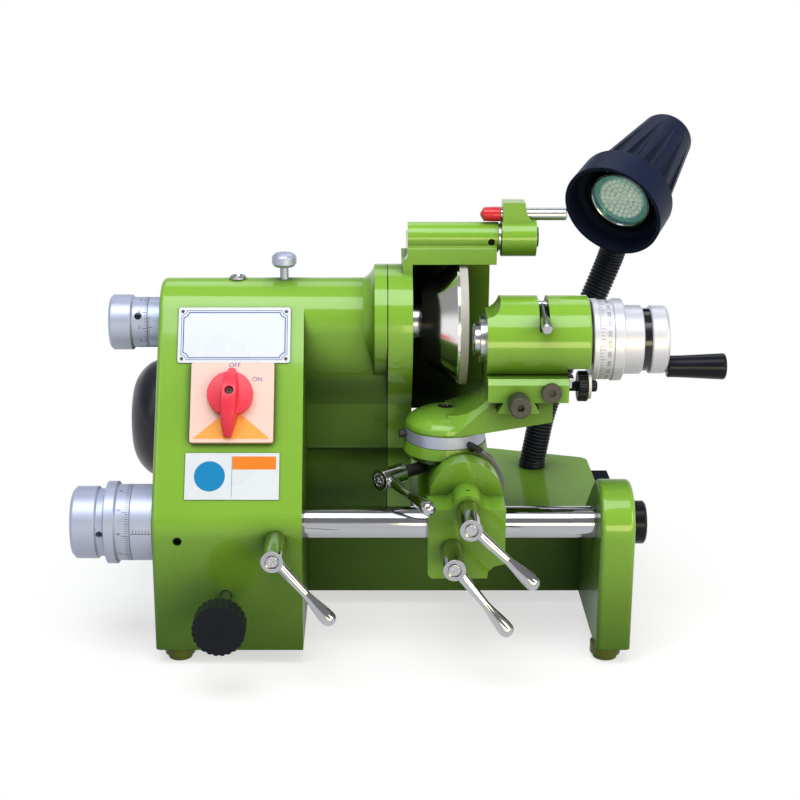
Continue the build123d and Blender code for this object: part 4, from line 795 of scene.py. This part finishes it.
# Index plunger: a black knob with a straight knurl round its disc, a white nylon washer
# behind it and a black end nut. A small bare steel pawl above it is screwed to the slide.
PLUNGER_YZ, WASHER_X = (-60.0 * MM, 212.2 * MM), (146.6 * MM, 148.9 * MM)
KNURLS = 44
plunger_black, place = start_finish("plunger_knob")
x, y, z = place.split()
washer = x.within(*WASHER_X)
bearing = place.maths("ARCTAN2", y - PLUNGER_YZ[0], z - PLUNGER_YZ[1])
knurl = place.maths("PINGPONG", bearing, math.pi / KNURLS) * (KNURLS / math.pi) * (x < WASHER_X[0])
surface(
    plunger_black,
    base_color=washer.tint((0.005, 0.006, 0.010), (0.72, 0.74, 0.78)),
    roughness=0.26 + 0.15 * washer,
    specular_ior_level=0.2,
    normal=relief(place, knurl, 0.5 * MM, 0.8, soften(place, 0.5 * MM)),
)
dress(plunger_black, "index_plunger")
PAWL_X, PAWL_Y, PAWL_Z = (130.0 * MM, 134.2 * MM), (-76.0 * MM, -64.0 * MM), (215.0 * MM, 223.0 * MM)
PAWL_FOOT, PAWL_TONGUE, PAWL_EDGE, FACING = 2.5 * MM, 3.0 * MM, 0.5 * MM, 0.9
TONGUE_LOW, TONGUE_REACH = PAWL_Z[1] - PAWL_TONGUE, PAWL_X[1] - PAWL_X[0] - PAWL_FOOT
pawl = block((PAWL_X[0], PAWL_X[0] + PAWL_FOOT), PAWL_Y, PAWL_Z)
open_all()
bpy.ops.mesh.bisect(plane_co=(0, 0, TONGUE_LOW), plane_no=(0, 0, 1))
bpy.ops.mesh.select_all(action="DESELECT")
close()
for face in pawl.data.polygons:
    face.select = face.normal.x > FACING and face.center.z > TONGUE_LOW
bpy.ops.object.mode_set(mode="EDIT")
bpy.ops.mesh.extrude_region_move(TRANSFORM_OT_translate={"value": (TONGUE_REACH, 0, 0)})
close()
round_edges(pawl, PAWL_EDGE)
put("plunger_pawl", pawl, ground_steel, UNMOVED, "cross")

# Plates on the sloping panel, both of white enamelled sheet. The name plate has a double blue
# border line with hollowed corners, and a round head rivet in each corner.
PANEL_UP = Vector((0, 0.539, 0.842))
PANEL_OUT = Vector((0, -0.842, 0.539))
PANEL_FOOT = Vector((-131.0, -111.13, 125.34)) * MM
white_sheet, place = start_finish("white_enamelled_sheet")
fade = grain(place, 25.0, 3.0)
surface(
    white_sheet,
    base_color=fade.tint((0.58, 0.63, 0.73), (0.66, 0.71, 0.79)),
    roughness=0.22 + 0.12 * fade,
    normal=soften(place, 0.3 * MM),
)
dress(white_sheet, "nameplate", "info_plate")
PRINT_LIFT = 0.06 * MM


def on_panel(across, up, lift):
    """A placing on the sloping panel, in metres from its foot, facing the operator."""
    spot = PANEL_FOOT + Vector((across, 0, 0)) + PANEL_UP * up + PANEL_OUT * lift
    return stand(PANEL_OUT, (1, 0, 0), spot)


def printing(name, tone, dark):
    """A printing ink with a slightly uneven lay."""
    finish, place = start_finish(name)
    lay = grain(place, 300.0, 2.0)
    surface(
        finish,
        base_color=lay.tint(dark, tone),
        roughness=0.35 + 0.1 * lay,
        specular_ior_level=0.1,
    )
    return finish


def border_line(inset, notch, thickness):
    """A closed line inside the name plate's edge with hollowed corners, in millimetres.
    It is left when the middle of an inset face is taken out."""
    line = sheet(*[side - 2 * inset * MM for side in NAME_SIZE])
    open_all()
    bpy.ops.mesh.bevel(offset=notch * MM, segments=6, profile=0.1, affect="VERTICES")
    bpy.ops.mesh.select_all(action="SELECT")
    bpy.ops.mesh.inset(thickness=thickness * MM, use_boundary=True)
    bpy.ops.mesh.delete(type="FACE")
    close()
    return line


NAME_AT, NAME_T, NAME_SIZE = (0.0, 143.5 * MM), 0.8 * MM, (89.0 * MM, 46.0 * MM)
# Inset, corner notch and thickness of the two border lines, in millimetres.
BORDERS = ((2.4, 4.2, 0.45), (3.9, 4.2, 0.75))
blue_ink = printing("blue_print", (0.05, 0.09, 0.40), (0.04, 0.07, 0.32))
for number, border in enumerate(BORDERS):
    seat = on_panel(*NAME_AT, NAME_T + PRINT_LIFT)
    put("name_border_" + str(number), border_line(*border), blue_ink, seat)
RIVET_R, RIVET_IN, RIVET_FLAT = 1.3 * MM, 3.4 * MM, 0.45
rivet = fresh(bpy.ops.mesh.primitive_uv_sphere_add, segments=20, ring_count=10, radius=RIVET_R)
open_all()
bpy.ops.mesh.bisect(plane_co=(0, 0, 0), plane_no=(0, 0, 1), clear_inner=True, use_fill=True)
bpy.ops.mesh.select_all(action="SELECT")
bpy.ops.transform.resize(value=(1.0, 1.0, RIVET_FLAT))
close()
for number, (side, end) in enumerate(((-1, -1), (1, -1), (-1, 1), (1, 1))):
    across = side * (NAME_SIZE[0] / 2 - RIVET_IN)
    up = NAME_AT[1] + end * (NAME_SIZE[1] / 2 - RIVET_IN)
    seat = on_panel(across, up, NAME_T)
    put("name_rivet_" + str(number), twin(rivet), phosphate, seat)
bpy.data.objects.remove(rivet)

# The lower plate carries plain fields of colour: a blue disc at the left, an orange band
# at the top right and a thin blue rule between them.
INFO_AT, INFO_T, FIELD_CORNER = (0.8 * MM, 29.0 * MM), 0.6 * MM, 0.12 * MM
INFO_DISC_R, INFO_DISC_EDGE, INFO_DISC_X = 12.0 * MM, 0.6 * MM, -17.4 * MM
sky_ink = printing("light_blue_print", (0.008, 0.22, 0.52), (0.006, 0.19, 0.45))
orange_ink = printing("orange_print", (0.78, 0.22, 0.022), (0.70, 0.18, 0.016))
disc = fresh(bpy.ops.mesh.primitive_circle_add, vertices=48, radius=INFO_DISC_R, fill_type="NGON")
open_all()
bpy.ops.mesh.inset(thickness=INFO_DISC_EDGE, use_boundary=True)
close()
seat = on_panel(INFO_AT[0] + INFO_DISC_X, INFO_AT[1], INFO_T + PRINT_LIFT)
put("info_disc", disc, sky_ink, seat)
# Place from the middle of the plate and size, in millimetres, and the ink.
FIELDS = {
    "info_band": ((17.0, 10.6), (33.8, 10.4), orange_ink),
    "info_rule": ((-0.2, 0.0), (0.35, 33.0), sky_ink),
}
for field, ((across, up), size, finish) in FIELDS.items():
    patch = sheet(size[0] * MM, size[1] * MM)
    open_all()
    bpy.ops.mesh.bevel(offset=FIELD_CORNER, segments=3, affect="VERTICES")
    close()
    seat = on_panel(INFO_AT[0] + across * MM, INFO_AT[1] + up * MM, INFO_T + PRINT_LIFT)
    put(field, patch, finish, seat)

# Rotary switch: a cream moulded plate with an orange wedge and the words ON and OFF printed
# on it, and over it a red knob that turns, with a boat-shaped handle and a sunk screw.
cream, place = start_finish("cream_moulding")
mottle = grain(place, 40.0, 3.0)
texture = grain(place, 1100.0, 1.0)
surface(
    cream,
    base_color=mottle.tint((0.78, 0.51, 0.47), (0.84, 0.57, 0.53)),
    roughness=0.30 + 0.12 * mottle,
    normal=relief(place, texture, 0.03 * MM, 0.3, soften(place, 0.6 * MM)),
)
dress(cream, "switch_plate")
red_moulding, place = start_finish("red_moulding")
flow = grain(place, 60.0, 2.0)
surface(
    red_moulding,
    base_color=flow.tint((0.72, 0.030, 0.065), (0.84, 0.050, 0.095)),
    roughness=0.22 + 0.14 * flow,
    specular_ior_level=0.3,
    normal=soften(place, 0.9 * MM),
)
SWITCH_AT, SWITCH_T = (-0.2 * MM, 87.5 * MM), 4.0 * MM
KNOB_AT, KNOB_FOOT = (-1.5 * MM, 93.0 * MM), 4.3 * MM
DISC_R, DISC_H, DISC_TAPER = 18.8 * MM, 7.0 * MM, 0.95
WEDGE_HALF, WEDGE_FOOT, WEDGE_H = 30.0 * MM, -29.5 * MM, 26.0 * MM
WEDGE_CORNERS, WEDGE_ROUND = ((0, WEDGE_H), (-WEDGE_HALF, 0), (WEDGE_HALF, 0)), 1.2 * MM
wedge = fresh(bpy.ops.mesh.primitive_circle_add, vertices=3, radius=1.0, fill_type="NGON")
for corner, spot in zip(wedge.data.vertices, WEDGE_CORNERS):
    corner.co = (spot[0], WEDGE_FOOT + spot[1], 0)
open_all()
bpy.ops.mesh.bevel(offset=WEDGE_ROUND, segments=4, affect="VERTICES")
close()
wedge_ink = printing("wedge_print", (0.88, 0.40, 0.09), (0.80, 0.34, 0.07))
put("switch_wedge", wedge, wedge_ink, on_panel(*SWITCH_AT, SWITCH_T + PRINT_LIFT))
WORDS, WORD_H = {"ON": (19.4 * MM, 18.5 * MM), "OFF": (1.5 * MM, 30.0 * MM)}, 5.2 * MM
for word, (across, up) in WORDS.items():
    seat = on_panel(SWITCH_AT[0] + across, SWITCH_AT[1] + up, SWITCH_T + PRINT_LIFT)
    put("switch_" + word.lower(), lettering(word, WORD_H, UNMOVED), blue_ink, seat)


def open_top(piece):
    """Opens the active piece for editing, with its top face selected."""
    for face in piece.data.polygons:
        face.select = face.normal.z > FACING
    bpy.ops.object.mode_set(mode="EDIT")
    bpy.ops.mesh.select_mode(type="FACE")


def pull(height):
    """Extrudes what is selected upwards, or down where the height is negative."""
    bpy.ops.mesh.extrude_region_move(TRANSFORM_OT_translate={"value": (0, 0, height)})


knob_disc = rod(DISC_R, DISC_H, (0, 0, DISC_H / 2), sides=64)
bpy.ops.object.transform_apply()
open_top(knob_disc)
bpy.ops.transform.resize(value=(DISC_TAPER, DISC_TAPER, 1.0))
close()
HANDLE_TOP, HANDLE_LOW, HANDLE_MID = 21.0 * MM, -34.0 * MM, -3.0 * MM
HANDLE_BASE, HANDLE_CROWN, HANDLE_RISE = (3.0 * MM, 8.0 * MM), (2.3 * MM, 5.6 * MM), (4.5 * MM, 16.5 * MM)
HANDLE_TURN, KNOB_EDGE, KNOB_SHARP = math.radians(-3.0), 0.7 * MM, 40.0
handle = fresh(bpy.ops.mesh.primitive_grid_add, x_subdivisions=2, y_subdivisions=16, size=2.0)
open_all()
pull(1.0)
close()
for corner in handle.data.vertices:
    along = HANDLE_LOW + (HANDLE_TOP - HANDLE_LOW) * (corner.co.y + 1.0) / 2.0
    reach = (HANDLE_TOP if along > HANDLE_MID else HANDLE_LOW) - HANDLE_MID
    belly = 1.0 - ((along - HANDLE_MID) / reach) ** 2
    ends = HANDLE_CROWN if corner.co.z > 0.5 else HANDLE_BASE
    rise = HANDLE_RISE[0] + (HANDLE_RISE[1] - HANDLE_RISE[0]) * belly
    corner.co = (corner.co.x * (ends[0] + (ends[1] - ends[0]) * belly), along, corner.co.z * rise)
open_all()
bpy.ops.mesh.normals_make_consistent(inside=False)
close()
RECESS_R, RECESS_FLOOR, RECESS_DEPTH = 3.5 * MM, 12.0 * MM, 12.0 * MM
carve(handle, rod(RECESS_R, RECESS_DEPTH, (0, 0, RECESS_FLOOR + RECESS_DEPTH / 2), sides=32))
handle.rotation_euler = (0, 0, HANDLE_TURN)
only(handle)
bpy.ops.object.transform_apply()
for piece in (knob_disc, handle):
    round_edges(piece, KNOB_EDGE, 3, KNOB_SHARP)
knob = join([knob_disc, handle])
put("switch_handle", knob, red_moulding, on_panel(*KNOB_AT, KNOB_FOOT), "switch")
smooth(35)
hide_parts("switch_knob")
KNOB_SCREW_R, KNOB_SCREW_H = 3.0 * MM, 1.6 * MM
SCREW_SHOULDER, SCREW_STEP, SOCKET_RIM, SOCKET_DEPTH = 0.5 * MM, 0.4 * MM, 1.3 * MM, 1.0 * MM
knob_screw = rod(KNOB_SCREW_R, KNOB_SCREW_H, sides=36)
open_top(knob_screw)
bpy.ops.mesh.inset(thickness=SCREW_SHOULDER)
pull(SCREW_STEP)
bpy.ops.mesh.inset(thickness=SOCKET_RIM)
pull(-SOCKET_DEPTH)
close()
seat = on_panel(*KNOB_AT, KNOB_FOOT + RECESS_FLOOR)
put("switch_screw", knob_screw, phosphate, seat, "switch")

# Dip-moulded cap over the diamond: soft red vinyl
# with a slight sag in its gloss.
vinyl, place = start_finish("red_vinyl")
sag = grain(place, 220.0, 2.0)
surface(
    vinyl,
    base_color=sag.tint((0.55, 0.006, 0.014), (0.70, 0.014, 0.024)),
    roughness=0.24,
    normal=relief(place, sag, 0.15 * MM, 0.5, soften(place, 0.5 * MM)),
)
dress(vinyl, "diamond_cap")

# Flexible neck of the work lamp: a steel strip wound into a hose and coated black,
# screwed into a round ferrule on the bed. One turn is shaped, repeated and bent along its route.
neck_coat, place = start_finish("black_neck_coat")
wear = grain(place, 160.0, 3.0)
surface(
    neck_coat,
    base_color=wear.tint((0.004, 0.006, 0.012), (0.012, 0.016, 0.028)),
    specular_ior_level=0.2,
    roughness=0.26 + 0.16 * wear,
    normal=relief(place, wear, 0.06 * MM, 0.4),
)
NECK_FOOT, NECK_RISE = Vector((125.2, 132.0, 82.0)) * MM, Vector((0.172, 0, 0.985))
NECK_END, NECK_AIM = Vector((194.1, 119.0, 299.8)) * MM, Vector((0.2, -0.36, 0.911))
FOOT_STRAIGHT, NECK_STRAIGHT, TURNS = 20.0 * MM, 22.4 * MM, 70
NECK_MIDDLE = ((134.6, 132.0, 132.0), (148.1, 132.0, 169.7), (168.9, 131.0, 221.6))
NECK_ROOT, NECK_CREST, TURN_WELD = 9.8 * MM, 11.6 * MM, 0.02 * MM
AIMED_STOPS = ((1, NECK_RISE, 4.0 * MM, 9.0 * MM), (-2, NECK_AIM, 14.0 * MM, 7.5 * MM))
route = fresh(bpy.ops.curve.primitive_bezier_curve_add)
stops = [NECK_FOOT, NECK_FOOT + NECK_RISE * FOOT_STRAIGHT]
stops += [Vector(spot) * MM for spot in NECK_MIDDLE]
stops += [NECK_END - NECK_AIM * NECK_STRAIGHT, NECK_END]
spline = route.data.splines[0]
spline.bezier_points.add(len(stops) - 2)
for point, spot in zip(spline.bezier_points, stops):
    point.co = spot
    point.radius = 1.0
    point.handle_left_type = "AUTO"
    point.handle_right_type = "AUTO"
for number, aim, before, after in AIMED_STOPS:
    point = spline.bezier_points[number]
    point.handle_left_type = "ALIGNED"
    point.handle_right_type = "ALIGNED"
    point.handle_left = point.co - aim * before
    point.handle_right = point.co + aim * after
route.data.resolution_u = 24
route.data.dimensions = "3D"
PITCH = spline.calc_length() / TURNS
# One turn of the strip in short steps: a share of the pitch, and the share of the crest it ends at.
TURN_RISE = ((0.10, 0.55), (0.10, 0.90), (0.08, 1.0), (0.34, 1.0))
TURN_FALL = ((0.08, 0.90), (0.10, 0.55), (0.08, 0.0), (0.12, 0.0))
neck = fresh(bpy.ops.mesh.primitive_circle_add, vertices=32, radius=NECK_ROOT)
bpy.ops.object.mode_set(mode="EDIT")
bpy.ops.mesh.select_mode(type="EDGE")
bpy.ops.mesh.select_all(action="SELECT")
radius = NECK_ROOT
for share, swell in TURN_RISE + TURN_FALL:
    wider = NECK_ROOT + (NECK_CREST - NECK_ROOT) * swell
    pull(PITCH * share)
    bpy.ops.transform.resize(value=(wider / radius, wider / radius, 1.0))
    radius = wider
close()
repeat = neck.modifiers.new("turns", "ARRAY")
repeat.count = TURNS
repeat.use_relative_offset = False
repeat.use_constant_offset = True
repeat.constant_offset_displace = (0, 0, PITCH)
repeat.use_merge_vertices = True
repeat.merge_threshold = TURN_WELD
bend = neck.modifiers.new("route", "CURVE")
bend.object = route
bend.deform_axis = "POS_Z"
bpy.ops.object.modifier_apply(modifier=repeat.name)
bpy.ops.object.modifier_apply(modifier=bend.name)
bpy.data.objects.remove(route)
open_all()
bpy.ops.mesh.fill_holes(sides=0)
bpy.ops.mesh.select_all(action="SELECT")
bpy.ops.mesh.normals_make_consistent(inside=False)
close()
FERRULE_R, FERRULE_H, SLEEVE_R, SLEEVE_H = 11.8 * MM, 4.0 * MM, 10.6 * MM, 3.0 * MM
FERRULE_EDGE = 0.8 * MM
ferrule = rod(FERRULE_R, FERRULE_H, NECK_FOOT - Vector((0, 0, FERRULE_H / 2)), sides=48)
bpy.ops.object.transform_apply()
open_top(ferrule)
bpy.ops.mesh.inset(thickness=FERRULE_R - SLEEVE_R)
pull(SLEEVE_H)
close()
round_edges(ferrule, FERRULE_EDGE)
neck = join([neck, ferrule])
put("lamp_neck", neck, neck_coat, UNMOVED)
smooth(35)
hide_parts("lamp_gooseneck")

# Lamp head: a satin black moulding with a smooth collar and a scooped, fluted back.
# Its reflector lamp has rings of small clear lenses behind a tinted glass in a chrome bezel.
lamp_black, place = start_finish("lamp_black_plastic")
spark = grain(place, 1300.0, 2.0)
cloud = grain(place, 30.0, 2.0)
# Painted shade: the moulding goes black where its own walls shelter it, inside the mouth. Its blue is
# partly a painted reflection of the sky on the black plastic.
LAMP_SHELTER, PAINTED_SHADE_BLACK = (45.0 * MM, 1.8), (0.001, 0.001, 0.002)
lamp_unshaded = place.maths("POWER", openness(place, LAMP_SHELTER[0]), LAMP_SHELTER[1])
black_and_painted_sky_blue = cloud.tint((0.007, 0.011, 0.031), (0.012, 0.018, 0.052))
surface(
    lamp_black,
    base_color=lamp_unshaded.tint(PAINTED_SHADE_BLACK, black_and_painted_sky_blue),
    roughness=0.36 + 0.12 * spark,
    specular_ior_level=0.08,
    normal=relief(place, spark, 0.05 * MM, 0.4, soften(place, 0.6 * MM)),
)
dress(lamp_black, "lamp_shade")
LAMP_MOUTH, LAMP_BACK = Vector((178.0, 60.0, 328.0)) * MM, Vector((0.5, 0.75, 0.4330127))
FACE_DEPTH, GLASS_DEPTH, LENS_AREA_R = 20.0 * MM, 16.6 * MM, 19.5 * MM
LAMP_ACROSS = (0.832, -0.555, 0)
TEAL, PALE_TEAL, SILVER = (0.15, 0.30, 0.28), (0.26, 0.46, 0.43), (0.46, 0.52, 0.50)


def past_lenses(place):
    """One where a spot is further from the lamp's axis than the lenses."""
    from_mouth = place.vector("SUBTRACT", tuple(LAMP_MOUTH))
    return from_mouth.vector("CROSS_PRODUCT", tuple(LAMP_BACK)).vector("LENGTH", out=1) > LENS_AREA_R


reflector, place = start_finish("lamp_reflector")
facets = grain(place, 420.0, 1.0)
outer = past_lenses(place)
surface(
    reflector,
    base_color=outer.tint(facets.tint((0.22, 0.27, 0.25), SILVER), facets.tint(TEAL, PALE_TEAL)),
    metallic=0.35,
    roughness=0.22 + 0.15 * facets,
    # Painted glow: the reflector gives off a weak light of its own, though the lamp is off.
    emission_color=outer.tint((0.30, 0.36, 0.33), TEAL),
    emission_strength=0.35,
    normal=relief(place, facets, 0.3 * MM, 0.5),
)
dress(reflector, "lamp_bulb")
lens_clear, place = start_finish("clear_lens")
sheen = grain(place, 500.0, 1.0)
surface(
    lens_clear,
    base_color=sheen.tint((0.34, 0.40, 0.36), (0.58, 0.64, 0.58)),
    roughness=0.08 + 0.06 * sheen,
    coat_weight=0.6,
    # Painted glow: the lenses give off a weak light of their own, though the lamp is off.
    emission_color=sheen.tint((0.30, 0.36, 0.33), (0.48, 0.54, 0.50)),
    emission_strength=0.45,
)
LENS_R, LENS_STEM = 1.95 * MM, 1.0 * MM
LENS_RINGS = ((1, 0.0), (6, 4.3), (12, 8.6), (18, 12.9), (24, 17.2))
lenses = []
for count, radius in LENS_RINGS:
    form = {"segments": 12, "ring_count": 8, "radius": LENS_R, "location": (radius * MM, 0, LENS_STEM)}
    lens = fresh(bpy.ops.mesh.primitive_uv_sphere_add, **form)
    bpy.ops.object.transform_apply()
    open_all()
    bpy.ops.mesh.bisect(plane_co=(0, 0, LENS_STEM), plane_no=(0, 0, 1), clear_inner=True, use_fill=True)
    pull(-LENS_STEM)
    if count > 1:
        sweep = 2 * math.pi * (count - 1) / count
        bpy.ops.mesh.select_all(action="SELECT")
        bpy.ops.mesh.spin(steps=count - 1, dupli=True, angle=sweep, center=(0, 0, 0), axis=(0, 0, 1))
    close()
    lenses.append(lens)
lenses = join(lenses)
smooth(40)
glass, place = start_finish("tinted_lamp_glass")
surface(
    glass,
    base_color=past_lenses(place).tint((0.90, 0.95, 0.93), (0.68, 0.86, 0.83)),
    roughness=0.04,
    transmission_weight=1.0,
    ior=1.25,
)


def turned_ring(form):
    """A ring turned from its section, given as radius and height in millimetres."""
    radius, height = form[0]
    start = {"vertices": 72, "radius": radius * MM, "location": (0, 0, height * MM)}
    ring = fresh(bpy.ops.mesh.primitive_circle_add, **start)
    bpy.ops.object.transform_apply()
    bpy.ops.object.mode_set(mode="EDIT")
    bpy.ops.mesh.select_mode(type="EDGE")
    bpy.ops.mesh.select_all(action="SELECT")
    for before, (radius, height) in zip(form, form[1:]):
        pull((height - before[1]) * MM)
        bpy.ops.transform.resize(value=(radius / before[0], radius / before[0], 1.0))
    bpy.ops.mesh.select_all(action="SELECT")
    bpy.ops.mesh.remove_doubles(threshold=RING_WELD)
    bpy.ops.mesh.fill_holes(sides=0)
    bpy.ops.mesh.normals_make_consistent(inside=False)
    close()
    smooth(35)
    return ring


RING_WELD = 0.01 * MM
GLASS_FORM = ((23.4, 0.0), (24.3, 0.2), (24.3, 0.6), (22.0, 1.0), (12.0, 1.3))
BEZEL_FORM = ((24.5, -3.2), (24.5, 0.9), (25.1, 1.6), (26.1, 1.6), (26.8, 0.9), (26.8, -3.2), (24.5, -3.2))
LAMP_FACE = {
    "lamp_lenses": (lenses, lens_clear, "bulb", FACE_DEPTH),
    "lamp_glass": (turned_ring(GLASS_FORM), glass, "bulb", GLASS_DEPTH),
    "lamp_bezel": (turned_ring(BEZEL_FORM), lever_chrome, "lever_chrome", GLASS_DEPTH),
}
for name, (piece, finish, slot, depth) in LAMP_FACE.items():
    put(name, piece, finish, stand(-LAMP_BACK, LAMP_ACROSS, LAMP_MOUTH + LAMP_BACK * depth))

# Studio: a plain pale floor that goes to white away from the object and keeps its shadow,
# one large soft light above the operator, weak fills, and a camera at the operator's place.
FLOOR_R, FLOOR_Z, NEAR, FAR, LIFT = 30.0, -0.5 * MM, 0.22, 0.36, 0.60
SHOWING_RAYS = ("Is Camera Ray", "Is Glossy Ray", "Is Transmission Ray")


def showing(tree):
    """One on the rays that show a thing itself: seen straight, mirrored or through glass."""
    rays = Signal(tree).node("ShaderNodeLightPath", {}, {})
    camera, glossy, through = [Signal(tree, rays.socket.node.outputs[key]) for key in SHOWING_RAYS]
    return rays.maths("MINIMUM", camera + glossy + through, 1.0)


def slope(value, low, high):
    """Zero up to the low limit, one from the high limit on, and a soft rise between them."""
    soft = {"interpolation_type": "SMOOTHSTEP"}
    return value.node("ShaderNodeMapRange", soft, {0: value, 1: low, 2: high})


floor_form = {"vertices": 64, "radius": FLOOR_R, "fill_type": "NGON", "location": (0, 0, FLOOR_Z)}
floor = fresh(bpy.ops.mesh.primitive_circle_add, **floor_form)
floor.name = "floor"
pale, place = start_finish("pale_floor")
shown = showing(pale.node_tree)
far = slope(place.vector("LENGTH", out=1), NEAR, FAR)
white = shown * (LIFT + (1 - LIFT) * far)
surface(
    pale,
    base_color=shown.tint((0.06, 0.06, 0.06), (0.95, 0.95, 0.95)),
    roughness=1.0,
    specular_ior_level=0.0,
)
paper = place.node("ShaderNodeEmission", {}, {"Color": (1, 1, 1, 1), "Strength": 1.0})
shader = Signal(pale.node_tree, pale.node_tree.nodes["Principled BSDF"].outputs[0])
mixed = place.node("ShaderNodeMixShader", {}, {0: white, 1: shader, 2: paper})
pale.node_tree.links.new(mixed.socket, pale.node_tree.nodes["Material Output"].inputs["Surface"])
floor.data.materials.append(pale)
LAMP_AIM = Vector((0, 0, 0.15))
# Place, size, watts and colour of each light.
LAMPS = {
    "key": ((-0.25, -0.85, 2.1), (1.7, 1.2), 33.0, (0.92, 0.97, 1.0)),
    "left": ((-1.2, -1.2, 1.2), (0.7, 0.9), 4.0, (0.86, 0.95, 1.0)),
    "front": ((0.70, -1.9, 0.27), (1.4, 0.5), 14.5, (1.0, 0.86, 0.40)),
    "right": ((1.5, -1.1, 0.85), (0.8, 0.9), 14.5, (1.0, 0.90, 0.76)),
    "back": ((0.2, 1.2, 1.8), (1.4, 0.8), 6.0, (0.9, 0.96, 1.0)),
}
for lamp_name, (spot, size, power, colour) in LAMPS.items():
    bpy.ops.object.light_add(type="AREA", location=spot)
    lamp = bpy.context.object
    lamp.name = lamp_name
    lamp.data.shape = "RECTANGLE"
    lamp.data.size, lamp.data.size_y = size
    lamp.data.energy = power
    lamp.data.color = colour
    lamp.rotation_euler = (LAMP_AIM - Vector(spot)).to_track_quat("-Z", "Y").to_euler()
world = bpy.data.worlds.new("studio")
bpy.context.scene.world = world
world.use_nodes = True
shown = showing(world.node_tree)
glow = world.node_tree.nodes["Background"]
glow.inputs["Color"].default_value = (1.0, 1.0, 1.0, 1.0)
AMBIENT, CEILING, WALL_TOP, SKY_RISE = 0.53, 0.34, (0.08, 0.34), (0.05, 0.75)
height = shown.node("ShaderNodeTexCoord", {}, {}).split()[2]
wall = 1.0 - (1.0 - CEILING) * slope(height, *WALL_TOP)
strength = (1 - shown) * AMBIENT * slope(height, *SKY_RISE) + shown * wall
world.node_tree.links.new(strength.socket, glow.inputs["Strength"])
bpy.context.scene.view_settings.view_transform = "Standard"
CAMERA_SPOT, CAMERA_DOWN = (-21.2 * MM, -1259.5 * MM, 572.0 * MM), 17.2
LENS, SENSOR, SHIFT = 72.0, 36.0, 27.0 / 800.0
bpy.ops.object.camera_add(location=CAMERA_SPOT, rotation=(math.radians(90 - CAMERA_DOWN), 0, 0))
camera = bpy.context.object
camera.data.lens = LENS
camera.data.sensor_width = SENSOR
camera.data.shift_x = SHIFT
bpy.context.scene.camera = camera
